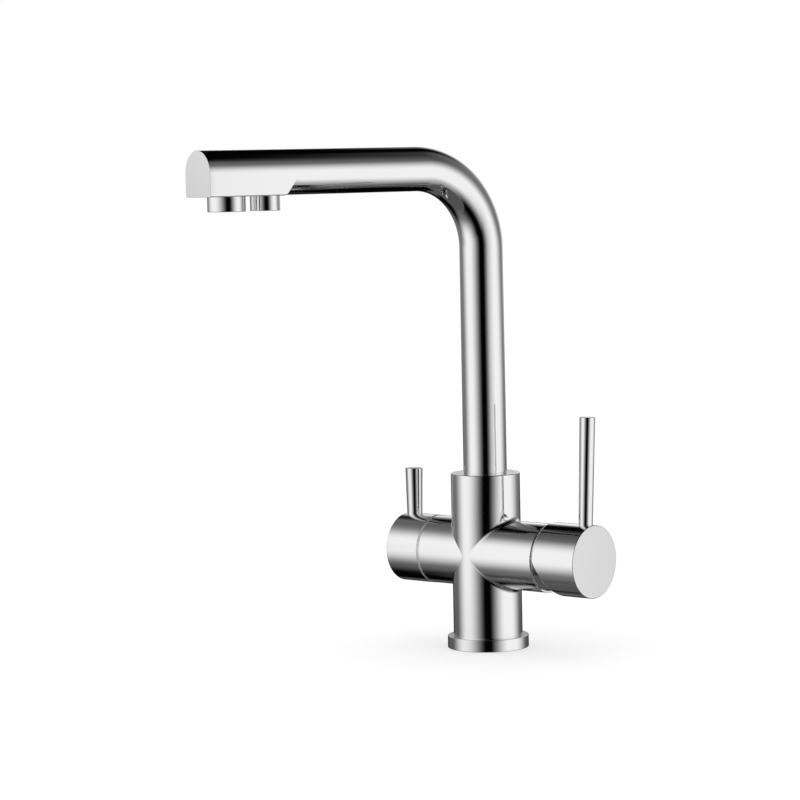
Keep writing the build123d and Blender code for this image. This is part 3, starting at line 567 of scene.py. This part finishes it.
def valve_arm(end, edge):
    """Cross arm from near the column's middle to its end, with a rounded edge and an open mouth."""
    side = 1 if end > 0 else -1
    outline = rounded(
        [
            (side * buried, 0, 0),
            (side * buried, arm_radius, 0),
            (end, arm_radius, edge),
            (end, arm_mouth_radius, 0),
            (end - side * arm_mouth_depth, arm_mouth_radius, 0),
            (end - side * arm_mouth_depth, 0, 0),
        ]
    )
    return [turned(outline, "X", (0, 0, arm_axis))]


def crossing_fillet(side, ball):
    """Hollow rounding where an arm leaves the column, as a ball leaves it that rolls along the corner.

    The ball's centre lies one ball radius off both surfaces, and the section between the two points where
    it touches them is an arc about that centre. A point inside the metal closes the section, and the arc
    is sunk by a hair, so that its edges don't stand out.
    """
    angle = np.linspace(0, 2 * pi, 361)[:, None]
    on_arm = np.stack([0 * angle, np.sin(angle), np.cos(angle)], axis=-1)
    centre = (arm_radius + ball) * on_arm
    centre[..., 0] = np.sqrt((column_radius + ball) ** 2 - centre[..., 1] ** 2)
    on_column = centre * np.array([1.0, 1.0, 0.0]) / (column_radius + ball)
    spread = np.arccos(np.sum(on_arm * on_column, axis=-1, keepdims=True))
    share = np.linspace(0, 1, FILLET_STEPS + 1)[None, :, None]
    way = (np.sin((1 - share) * spread) * on_arm + np.sin(share * spread) * on_column) / np.sin(spread)
    arc = centre - (ball + fillet_sink) * way
    middle = way[:, FILLET_STEPS // 2][:, None]
    inside = centre - (ball / np.cos(spread / 2) + fillet_root) * middle
    points = np.concatenate([arc, inside], axis=1)
    return [(points * np.array([side, 1.0, 1.0]) + np.array([0, 0, arm_axis]), True)]


def base_flange():
    """Round base plate with a softly rounded upper edge and a square groove for the seal below."""
    outline = rounded(
        [
            (0, foot_radius + foot_gap, 0),
            (0, seal_groove_inner, small_round),
            (seal_groove_depth, seal_groove_inner, 0),
            (seal_groove_depth, seal_groove_outer, 0),
            (0, seal_groove_outer, small_round),
            (0, flange_radius, flange_foot_round),
            (flange_top, flange_radius, flange_edge_round),
            (flange_top, foot_radius + foot_gap, 0),
            (0, foot_radius + foot_gap, 0),
        ]
    )
    return [turned(outline, "Z")]


def threaded_hole(x, y, radius, depth, pitch):
    """Tapped hole: its radius is a triangle wave of height and turn, so the groove runs in a helix."""
    angle = np.linspace(0, 2 * pi, THREAD_TURN, endpoint=False)[None, :]
    height = np.linspace(0, depth, int(depth / pitch * THREAD_ROWS))[:, None]
    phase = (height / pitch - angle / (2 * pi)) % 1.0
    wave = np.abs(2 * phase - 1)
    lead_in = np.clip(height / thread_lead_in, 0, 1)
    wall = radius - thread_groove * wave * lead_in
    side = np.stack([x + wall * np.cos(angle), y + wall * np.sin(angle), height + 0 * angle], axis=-1)
    centre = np.zeros((1, THREAD_TURN, 3)) + np.array([x, y, depth])
    return np.concatenate([side, centre]), True


def foot_plate():
    """Underside of the foot with its four threaded holes.

    The disc is three sectors, one to an inlet. In each, a point lies on a line from the rim of the
    inlet's hole to the sector's edge: the outer circle, a radial side or the middle hole, whichever the
    line meets first.
    """
    grids = [threaded_hole(0, 0, stud_hole_radius, stud_hole_depth, stud_thread_pitch)]
    angle = np.linspace(-pi, pi, 241)
    way = np.stack([np.cos(angle), np.sin(angle)], axis=-1)
    hub = np.array([inlet_circle_radius, 0.0])
    along = way @ hub
    outer = -along + np.sqrt(along**2 + foot_radius**2 - hub @ hub)
    inside = along**2 + stud_hole_radius**2 - hub @ hub
    inner = np.where((inside > 0) & (along < 0), -along - np.sqrt(np.maximum(inside, 0)), 1.0)
    reach = np.minimum(outer, inner)
    for side in (1, -1):
        normal = np.array([-sin(pi / 3), side * cos(pi / 3)])
        facing = way @ normal
        distance = -(hub @ normal) / np.where(np.abs(facing) < 1e-9, 1e-9, facing)
        reach = np.minimum(reach, np.where(distance > 0, distance, 1.0))
    share = np.array(PLATE_RINGS)[:, None, None]
    rim = hub + inlet_hole_radius * way
    edge = hub + reach[:, None] * way
    plate = rim * (1 - share) + edge * share
    for degrees in inlet_angles:
        turn = radians(degrees)
        x = plate[..., 0] * cos(turn) - plate[..., 1] * sin(turn)
        y = plate[..., 0] * sin(turn) + plate[..., 1] * cos(turn)
        grids.append((np.stack([x, y, 0 * x], axis=-1), False))
        middle = (inlet_circle_radius * cos(turn), inlet_circle_radius * sin(turn))
        grids.append(threaded_hole(*middle, inlet_hole_radius, inlet_hole_depth, inlet_thread_pitch))
    upper = flange_top - buried
    outline = np.array([(0, foot_radius), (upper, foot_radius), (upper, 0)])
    grids.append(turned(outline, "Z", turn=240))
    return grids


# ------------------------------------------------------------------ spout
def spout_stations():
    """Stations along the centre line as (middle, up): the rise, the quarter bend, then the level run."""
    bend_foot = spout_axis - bend_radius
    rise = np.linspace(tube_foot, bend_foot, 30)[:-1]
    bend = np.linspace(0, pi / 2, 97)[:-1]
    run = np.linspace(bend_radius, heel_start, 24)
    middles = [rise[:, None] * UP]
    ups = [np.tile(-spout_way, (len(rise), 1))]
    out = bend_radius * (1 - np.cos(bend))[:, None]
    lift = (bend_foot + bend_radius * np.sin(bend))[:, None]
    middles.append(out * spout_way + lift * UP)
    ups.append(np.sin(bend)[:, None] * UP - np.cos(bend)[:, None] * spout_way)
    middles.append(run[:, None] * spout_way + spout_axis * UP)
    ups.append(np.tile(UP, (len(run), 1)))
    return np.concatenate(middles), np.concatenate(ups)


def head_section(depth, inset):
    """Half outline of the spout's section as (side, up): an arc over the top, a flat flank and underside.

    The arc has the tube's radius and meets the flank below the axis. The flank runs down to the depth,
    turns a small corner, and the underside runs in to the arc of the tube's own bottom, or to the middle
    once the depth is more than the radius. The inset moves the whole outline inwards.
    """
    radius = tube_radius - inset
    half = head_half_width - inset
    meet = sqrt(tube_radius**2 - head_half_width**2)
    start = asin(min(meet / radius, 1))
    low = max(depth - inset, radius * sin(start))
    corner = min(head_corner_round, (low - radius * sin(start)) / 2)
    over = np.linspace(pi / 2, -start, 60)
    top = np.stack([radius * np.cos(over), radius * np.sin(over)], axis=-1)
    down = np.linspace(-radius * sin(start), -(low - corner), 14)[1:]
    flank = np.stack([0 * down + half, down], axis=-1)
    turn = np.linspace(0, pi / 2, 8)[1:]
    centre = np.array([half - corner, -(low - corner)])
    bend = centre + corner * np.stack([np.cos(turn), -np.sin(turn)], axis=-1)
    inner = max(sqrt(max(radius**2 - low**2, 0)), head_ledge_limit)
    ledge_in = np.linspace(half - corner, inner, 10)[1:]
    bottom_in = np.linspace(inner, 0, 22)[1:]
    across = np.concatenate([ledge_in, bottom_in])
    under = -np.maximum(low, np.sqrt(np.maximum(radius**2 - across**2, 0)))
    under[: len(ledge_in)] = -low
    floor = np.stack([across, under], axis=-1)
    return np.concatenate([top, flank, bend, floor])


def full_section(half):
    """Whole outline from its half, mirrored about the middle."""
    mirrored = half[-2:0:-1] * np.array([-1.0, 1.0])
    return np.concatenate([half, mirrored])


def spout_skin():
    """One surface from the foot of the tube to the flat end of the head.

    Each station of the centre line carries a section. Along the tube it is a circle. At the heel its
    underside drops along a slant and a round until the flat head is deep enough, and at the end the
    outline draws in along the rounding of the edge and closes to the flat D-shaped face.
    """
    middles, ups = spout_stations()
    tube_section = full_section(head_section(0, 0))
    side = tube_section[:, 0][None, :, None]
    height = tube_section[:, 1][None, :, None]
    tube = middles[:, None, :] + side * spout_side + height * ups[:, None, :]
    path = rounded(
        [
            (heel_start, 0, 0),
            (heel_start, head_depth - heel_rise, 0),
            (heel_start + heel_length, head_depth, heel_round),
            (spout_reach - head_edge_round, head_depth, 0),
        ]
    )
    slant = np.linspace(path[4], path[5], 30)[1:-1]
    heel = [(reach, depth, 0) for reach, depth in np.concatenate([path[1:5], slant, path[5:-1]])]
    flat = [(u, head_depth, 0) for u in np.linspace(heel[-1][0], spout_reach - head_edge_round, 14)[1:]]
    turn = np.linspace(0, pi / 2, ROUND_STEPS + 1)[1:]
    size = head_edge_round
    edge = [(spout_reach - size + size * sin(a), head_depth, size * (1 - cos(a))) for a in turn]
    rows = []
    for reach, depth, inset in heel + flat + edge:
        section = full_section(head_section(depth, inset))
        rows.append(reach * spout_way + section[:, :1] * spout_side + (spout_axis + section[:, 1:]) * UP)
    last = rows[-1]
    centre = spout_reach * spout_way + spout_axis * UP
    for share in HEAD_FACE_RINGS:
        rows.append(centre + (last - centre) * share)
    foot = middles[0] + (tube[0] - middles[0]) * np.array(TUBE_FOOT_RINGS)[:, None, None]
    return [(np.concatenate([foot, tube, np.array(rows)]), True)]


def spigot_rim():
    """Flat top of the spout's turned foot, round the tube, almost level with the column's top."""
    low, high = spigot_top - spigot_depth, column_top - rim_drop
    inner = tube_radius - buried
    outline = rounded(
        [
            (low, inner, 0),
            (low, spigot_radius, 0),
            (high, spigot_radius, small_round),
            (high, inner, 0),
            (low, inner, 0),
        ]
    )
    return [turned(outline, "Z")]


def outlet_ring(centre, radius):
    """Plain nozzle ring under the head with softened edges and a bore for its insert."""
    bore = radius - outlet_wall
    root = head_underside + outlet_root
    outline = rounded(
        [
            (root, bore, 0),
            (outlet_mouth, bore, outlet_bore_round),
            (outlet_mouth, radius, outlet_edge_round),
            (root, radius, 0),
            (root, bore, 0),
        ]
    )
    return [turned(outline, "Z", (centre.x, centre.y, 0), turn=192)]


# ------------------------------------------------------------------ handles, trims and levers
def cap_back(height):
    """Station of the mixing cap's back edge at a height above the arm's axis.

    It is a flat face, or the relief plane where that lies further out. The plane passes the arm's end
    and is tilted by the cap's own travel about the pivot.
    """
    slope = (relief_plane - mixer_pivot - height * sin(mixer_tilt)) / cos(mixer_tilt)
    return np.maximum(mixer_cap_start, mixer_pivot + slope)


def mixer_cap():
    """Mixing cap: rings of points round its axis, from the middle of its face over the rim and the wall
    to the back edge, which follows cap_back, and on into its hollow, with a screw's hole in the rear."""
    inner = mixer_cap_radius - mixer_cap_wall
    size = cap_edge_round
    angle = np.linspace(0, 2 * pi, TURN, endpoint=False)
    turn = np.linspace(0, pi / 2, ROUND_STEPS + 1)
    rows = []

    def row(station, radius):
        """One ring of points; a station is a number or one value for each angle."""
        x = station + 0 * angle
        rows.append(np.stack([x, radius * np.cos(angle), arm_axis + radius * np.sin(angle)], axis=-1))

    row(mixer_cap_end, 0)
    for share in CAP_FACE_RINGS:
        row(mixer_cap_end, share * mixer_cap_radius)
    row(mixer_cap_end, mixer_cap_radius - size - SUPPORT)
    for a in turn:
        row(mixer_cap_end - size * (1 - cos(a)), mixer_cap_radius - size * (1 - sin(a)))
    row(mixer_cap_end - size - SUPPORT, mixer_cap_radius)
    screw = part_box("mixer_grub_screw")
    hole = np.array([(screw[0].x + screw[1].x) / 2, arm_axis])
    half = HOLE_COLUMNS * 2 * pi / TURN * mixer_cap_radius
    ring = len(rows)
    row(hole[0] + half, mixer_cap_radius)
    row(hole[0] - half, mixer_cap_radius)
    back = cap_back(mixer_cap_radius * np.sin(angle))
    lip = cap_back_round
    for share in np.linspace(0.1, 1, 9):
        row((hole[0] - half) * (1 - share) + (back + lip + SUPPORT) * share, mixer_cap_radius)
    for a in turn:
        radius = mixer_cap_radius - lip * (1 - cos(a))
        row(cap_back(radius * np.sin(angle)) + lip * (1 - sin(a)), radius)
    flat = inner + 2 * small_round
    row(cap_back(flat * np.sin(angle)), flat)
    row(cap_back(inner * np.sin(angle)) + lip, inner)
    row(mixer_cap_floor, inner)
    row(mixer_cap_floor, stem_socket_radius)
    row(stem_socket_start, stem_socket_radius)
    row(stem_socket_start, stem_radius)
    row(stem_socket_start + stem_depth, stem_radius)
    row(stem_socket_start + stem_depth, 0)
    return drilled(np.array(rows), ring, 0, hole, 0, mixer_cap_radius, screw)


def filter_cap():
    """Cap of the filtered water valve, with rounded edges, a shallow hollow towards the arm and a
    screw's hole in the rear."""
    inner = filter_cap_radius - filter_cap_wall
    start = bead_far - filter_seam_gap
    outline = rounded(
        [
            (filter_cap_end, 0, 0),
            (filter_cap_end, filter_cap_radius, cap_edge_round),
            (start, filter_cap_radius, bead_edge_round),
            (start, inner, 0),
            (-filter_cap_floor, inner, 0),
            (-filter_cap_floor, 0, 0),
        ]
    )
    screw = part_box("filter_grub_screw")
    return drilled_turning(outline, "X", (0, 0, arm_axis), filter_cap_radius, screw, 0)


def ball_collar():
    """Collar on the mixing arm's end: a zone of a ball round the pivot, so that the cap tilts over it."""
    ball = sqrt((mixer_arm_end - mixer_pivot) ** 2 + mixer_trim_radius**2)
    foot_angle = asin(mixer_trim_radius / ball)
    rim_angle = acos((mixer_trim_end - mixer_pivot) / ball)
    angle = np.linspace(foot_angle, rim_angle, 24)
    zone = np.stack([mixer_pivot + ball * np.cos(angle), ball * np.sin(angle)], axis=-1)
    foot = np.array([(mixer_arm_end - buried, zone[-1, 1]), (mixer_arm_end - buried, zone[0, 1])])
    outline = np.concatenate([foot, zone, zone[-1:] - (collar_lip, 0), foot[:1]])
    return [turned(outline, "X", (0, 0, arm_axis))]


def bead_ring(near, far, outer, inner):
    """Satin bead between an arm and its cap: a slim ring with softly rounded outer edges."""
    size = bead_edge_round
    outline = rounded(
        [(near, inner, 0), (near, outer, size), (far, outer, size), (far, inner, 0), (near, inner, 0)]
    )
    return [turned(outline, "X", (0, 0, arm_axis))]


def lever(station, cap_radius, root, tip, top, lean):
    """Slim lever: a cone that widens a little to its flat tip with a rounded edge, leaning outwards."""
    length = (top - arm_axis - cap_radius) / cos(lean)
    outline = rounded(
        [
            (-lever_seat_depth, 0, 0),
            (-lever_seat_depth, root, 0),
            (length, tip, lever_tip_round),
            (length, 0, 0),
        ]
    )
    points, wrap = turned(outline, "Z", turn=128)
    x = points[..., 0] * cos(lean) + points[..., 2] * sin(lean) + station
    z = -points[..., 0] * sin(lean) + points[..., 2] * cos(lean) + arm_axis + cap_radius
    return [(np.stack([x, points[..., 1], z], axis=-1), wrap)]


# ------------------------------------------------------------------ pieces on the bodies
def plated_piece(name, body, grids, material=chrome):
    """Plated piece, polished unless another finish is given."""
    return mesh_piece(name, body, material, grids)


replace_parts(plated_piece("column", "tap_base", column()), "tap_body")
plated_piece("mixer_arm", "tap_base", valve_arm(mixer_arm_end, arm_edge_round))
plated_piece("filter_arm", "tap_base", valve_arm(bead_near, bead_edge_round))
fillets = crossing_fillet(1, mixer_fillet) + crossing_fillet(-1, filter_fillet)
plated_piece("crossing_fillets", "tap_base", fillets)
plated_piece("foot_plate", "tap_base", foot_plate(), brass)
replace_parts(plated_piece("base_plate", "tap_base", base_flange()), "base_flange")
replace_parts(plated_piece("mixer_collar", "tap_base", ball_collar()), "mixer_trim_ring")
bead = bead_ring(bead_near, bead_far, arm_radius + bead_rise, filter_collar_radius)
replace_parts(plated_piece("filter_collar", "tap_base", bead, satin), "filter_trim_ring")
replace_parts(plated_piece("spout_skin", "spout", spout_skin()), "spout_tube", "spout_head")
plated_piece("spigot_rim", "spout", spigot_rim())
mixed_nozzle = plated_piece("mixed_nozzle", "spout", outlet_ring(mixed_centre, mixed_radius))
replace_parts(mixed_nozzle, "mixed_outlet_housing")
filtered_nozzle = plated_piece("filtered_nozzle", "spout", outlet_ring(filtered_centre, filtered_radius))
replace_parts(filtered_nozzle, "filtered_outlet_housing")
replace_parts(plated_piece("mixer_cap", "mixer_control", mixer_cap()), "mixer_handle")
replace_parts(plated_piece("filter_cap", "filter_control", filter_cap()), "filter_handle")
stick = lever(
    mixer_lever_station,
    mixer_cap_radius,
    mixer_lever_root,
    mixer_lever_tip,
    mixer_lever_top,
    mixer_lever_lean,
)
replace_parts(plated_piece("mixer_stick", "mixer_control", stick), "mixer_lever")
stick = lever(
    filter_lever_station,
    filter_cap_radius,
    filter_lever_root,
    filter_lever_tip,
    filter_lever_top,
    0,
)
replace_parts(plated_piece("filter_stick", "filter_control", stick), "filter_lever")

# The CAD nodes that stay get the finish of their material slot.
slot_of = {part["node"]: part["material_slot"] for part in frame["record"]["subparts"]}
for node_name, node in frame["nodes"].items():
    node.data.materials.clear()
    node.data.materials.append(finishes[slot_of[node_name]])


# ------------------------------------------------------------------ studio
floor_half_side = 6.0
floor_drop = 0.00005
floor_grey = 0.55
floor_glow = 0.5


def studio_world():
    """Plain white surround."""
    world = bpy.data.worlds.new("white_surround")
    bpy.context.scene.world = world
    world.use_nodes = True
    surround = world.node_tree.nodes["Background"]
    surround.inputs["Color"].default_value = (1, 1, 1, 1)
    surround.inputs["Strength"].default_value = 1.0
    world.cycles.sampling_method = "NONE"


def studio_floor():
    """Pale floor that keeps the tap's shadow: part of its white is its own, part is the light on it."""
    size = floor_half_side
    mesh = bpy.data.meshes.new("floor")
    corners = [(-size, -size, 0), (size, -size, 0), (size, size, 0), (-size, size, 0)]
    mesh.from_pydata(corners, [], [(0, 1, 2, 3)])
    material = bpy.data.materials.new("pale_floor")
    material.use_nodes = True
    tree = material.node_tree
    tree.nodes.clear()
    paint = tree.nodes.new("ShaderNodeBsdfDiffuse")
    paint.inputs["Color"].default_value = (floor_grey, floor_grey, floor_grey, 1)
    glow = tree.nodes.new("ShaderNodeEmission")
    path = tree.nodes.new("ShaderNodeLightPath")
    seen = combined(tree, "MAXIMUM", path.outputs["Is Camera Ray"], path.outputs["Is Glossy Ray"])
    seen = combined(tree, "MAXIMUM", seen, path.outputs["Is Transmission Ray"])
    tree.links.new(combined(tree, "MULTIPLY", seen, floor_glow), glow.inputs["Strength"])
    both = tree.nodes.new("ShaderNodeAddShader")
    tree.links.new(paint.outputs[0], both.inputs[0])
    tree.links.new(glow.outputs[0], both.inputs[1])
    out = tree.nodes.new("ShaderNodeOutputMaterial")
    tree.links.new(both.outputs[0], out.inputs["Surface"])
    floor = placed("floor", mesh, material)
    floor.location.z = -floor_drop
    floor.visible_glossy = False


# Black cloth round the set, which gives the chrome its dark bands. Angles are in degrees from the
# camera's side, heights in metres. A window opens over "inner" and closes over "outer". Its outer edge
# lies "lean" degrees further in above lean_height, and "low_lean" below low_lean_height. "low" and
# "high" are its soft edges below and above, and a share of each fades over a longer way.
drum_radius = 0.86
drum_bottom = -1.6
drum_top = 2.1
left_window = {
    "inner": (7.0, 67.0),
    "outer": (74.0, 122.0),
    "lean": -10.0,
    "low_lean": -8.0,
    "low": (-0.66, 0.02),
    "long_low": (-1.4, -0.6),
    "low_share": 0.2,
    "high": (0.38, 1.13),
}
right_window = {
    "inner": (7.0, 60.0),
    "outer": (84.0, 134.0),
    "lean": 15.0,
    "low_lean": 0.0,
    "low": (-0.8, -0.13),
    "long_low": (-1.6, -0.7),
    "low_share": 0.45,
    "high": (0.3, 1.0),
}
lean_height = (0.1, 0.4)
low_lean_height = (-0.9, -0.5)
# The dark gap between the windows drifts to the right with height, by degrees.
gap_height = (-0.02, 0.05)
gap_drift = (0.0, 3.5)
long_high = (0.9, 1.9)
high_share = 0.15
# A window at the rear, lower and slightly fainter on its left half.
rear_right = (125.0, 172.0)
rear_left = (140.0, 182.0)
rear_left_share = 0.95
rear_low = (0.02, 0.42)
rear_right_high = (0.15, 1.05)
rear_left_high = (0.2, 0.72)
# Beside and behind the tap the cloth is lit a little: a dark grey that fades above and below. It is
# black in a patch high at the rear on either side and in one low at the rear, and comes back near the
# ground and low at the left.
cloth_black = 0.001
cloth_grey = 0.20
cloth_inner = (85.0, 125.0)
cloth_low = (-0.4, 0.1)
cloth_high = (0.4, 2.0)
patch_right = {"angle": (128.0, 152.0), "height": (0.45, 0.85)}
patch_left = {"angle": (140.0, 160.0), "height": (0.45, 0.8)}
patch_low = {"angle": (140.0, 165.0), "height": (-0.05, 0.25)}
ground_grey = 0.09
ground_height = (-1.15, -0.92)
corner_grey = 0.10
corner_angle = (157.0, 170.0)
corner_height = (-0.5, -0.2)


def open_cloth(tree):
    """Share of the pale surround that shows through the cloth, from 0 in black cloth to 1 in a window.

    A window is a soft step in angle at its inner edge, times one at its outer edge, times soft steps in
    height at its top and bottom. The rear window has one edge on either side and reaches round behind
    the tap. The cloth's own grey is added, less its black patches.
    """
    place = tree.nodes.new("ShaderNodeTexCoord")
    spin = tree.nodes.new("ShaderNodeMapping")
    spin.inputs["Rotation"].default_value = (0, 0, -atan2(camera_place[1], camera_place[0]))
    tree.links.new(place.outputs["Object"], spin.inputs["Vector"])
    split = tree.nodes.new("ShaderNodeSeparateXYZ")
    tree.links.new(spin.outputs["Vector"], split.inputs["Vector"])

    def math(operation, *values):
        """Result of a Math node in this tree."""
        return combined(tree, operation, *values)

    def ramp(value, low, high, start=0.0, end=1.0):
        """Soft step of a value from start to end between two levels."""
        return mapped(tree, value, low, high, start, end, "SMOOTHSTEP")

    angle = math("MULTIPLY", math("ARCTAN2", split.outputs["Y"], split.outputs["X"]), 180 / pi)
    aside = math("ABSOLUTE", angle)
    height = split.outputs["Z"]
    from_gap = math("ABSOLUTE", math("SUBTRACT", angle, ramp(height, *gap_height, *gap_drift)))

    def window(shape):
        """Soft window: its opening by angle, times its fades below and above."""
        leaning = math("ADD", aside, ramp(height, *lean_height, 0.0, shape["lean"]))
        leaning = math("ADD", leaning, ramp(height, *low_lean_height, shape["low_lean"], 0.0))
        share = math("MULTIPLY", ramp(from_gap, *shape["inner"]), ramp(leaning, *shape["outer"], 1.0, 0.0))
        tail = shape["low_share"]
        below = ramp(height, *shape["low"], 0.0, 1 - tail)
        below = math("ADD", below, ramp(height, *shape["long_low"], 0.0, tail))
        above = ramp(height, *shape["high"], 1 - high_share, 0.0)
        above = math("ADD", above, ramp(height, *long_high, high_share, 0.0))
        return math("MULTIPLY", share, math("MULTIPLY", below, above))

    on_right = math("GREATER_THAN", angle, 0.0)
    on_left = math("SUBTRACT", 1.0, on_right)
    sides = math("MULTIPLY", window(left_window), on_left)
    sides = math("ADD", sides, math("MULTIPLY", window(right_window), on_right))
    rear = math("MULTIPLY", ramp(aside, *rear_left, 0.0, rear_left_share), on_left)
    rear = math("MULTIPLY", rear, ramp(height, *rear_left_high, 1.0, 0.0))
    behind = math("MULTIPLY", ramp(aside, *rear_right), on_right)
    behind = math("MULTIPLY", behind, ramp(height, *rear_right_high, 1.0, 0.0))
    rear = math("MULTIPLY", math("ADD", rear, behind), ramp(height, *rear_low))
    grey = math("MULTIPLY", ramp(aside, *cloth_inner, 0.0, cloth_grey), ramp(height, *cloth_low))
    grey = math("MULTIPLY", grey, ramp(height, *cloth_high, 1.0, 0.0))
    for shape, side in ((patch_left, on_left), (patch_right, on_right)):
        patch = math("MULTIPLY", ramp(aside, *shape["angle"]), ramp(height, *shape["height"]))
        grey = math("MULTIPLY", grey, math("SUBTRACT", 1.0, math("MULTIPLY", patch, side)))
    low_rear = ramp(height, *patch_low["height"], 1.0, 0.0)
    patch = math("MULTIPLY", ramp(aside, *patch_low["angle"]), low_rear)
    grey = math("MULTIPLY", grey, math("SUBTRACT", 1.0, patch))
    ground = ramp(height, *ground_height, ground_grey, 0.0)
    corner = math("MULTIPLY", ramp(aside, *corner_angle), ramp(height, *corner_height, corner_grey, 0.0))
    grey = math("ADD", grey, math("MAXIMUM", ground, math("MULTIPLY", corner, on_left)))
    return math("MINIMUM", math("ADD", math("MAXIMUM", sides, rear), grey), 1.0)


def black_drum():
    """Drum of black cloth that only reflections see, with a tall soft-edged window on either side and a
    low one at the rear. Its two ends are closed."""
    wall = [(drum_bottom, drum_radius), (drum_top, drum_radius)]
    outline = np.array([(drum_bottom, 0), *wall, (drum_top, 0)])
    points, _ = turned(outline, "Z", turn=96)
    mesh = bpy.data.meshes.new("black_drum")
    faces = grid_faces(*points.shape[:2], True)
    mesh.from_pydata(points.reshape(-1, 3).tolist(), [], faces.tolist())
    material = bpy.data.materials.new("black_cloth")
    material.use_nodes = True
    tree = material.node_tree
    tree.nodes.clear()
    cloth = tree.nodes.new("ShaderNodeEmission")
    cloth.inputs["Color"].default_value = (cloth_black, cloth_black, cloth_black, 1)
    clear = tree.nodes.new("ShaderNodeBsdfTransparent")
    mix = tree.nodes.new("ShaderNodeMixShader")
    tree.links.new(open_cloth(tree), mix.inputs["Fac"])
    tree.links.new(cloth.outputs[0], mix.inputs[1])
    tree.links.new(clear.outputs[0], mix.inputs[2])
    out = tree.nodes.new("ShaderNodeOutputMaterial")
    tree.links.new(mix.outputs[0], out.inputs["Surface"])
    drum = placed("black_drum", mesh, material)
    drum.visible_camera = False
    drum.visible_diffuse = False
    drum.visible_transmission = False
    drum.visible_shadow = False


def studio_camera():
    """Camera at the photograph's place, turned by its azimuth, pitch and roll."""
    ahead = np.array(
        [
            -sin(camera_azimuth) * cos(camera_pitch),
            cos(camera_azimuth) * cos(camera_pitch),
            sin(camera_pitch),
        ]
    )
    level = np.array([cos(camera_azimuth), sin(camera_azimuth), 0.0])
    above = np.cross(level, ahead)
    right = cos(camera_roll) * level + sin(camera_roll) * above
    above = -sin(camera_roll) * level + cos(camera_roll) * above
    data = bpy.data.cameras.new("camera")
    data.sensor_width = sensor_width
    data.lens = focal_pixels * sensor_width / picture_pixels
    data.clip_start = 0.05
    data.clip_end = 20.0
    camera = bpy.data.objects.new("camera", data)
    bpy.context.scene.collection.objects.link(camera)
    place = np.eye(4)
    place[:3, :] = np.stack([right, above, -ahead, np.array(camera_place)], axis=1)
    camera.matrix_world = Matrix(place.tolist())
    bpy.context.scene.camera = camera


studio_world()
studio_floor()
black_drum()
studio_camera()
bpy.context.scene.view_settings.view_transform = "Standard"
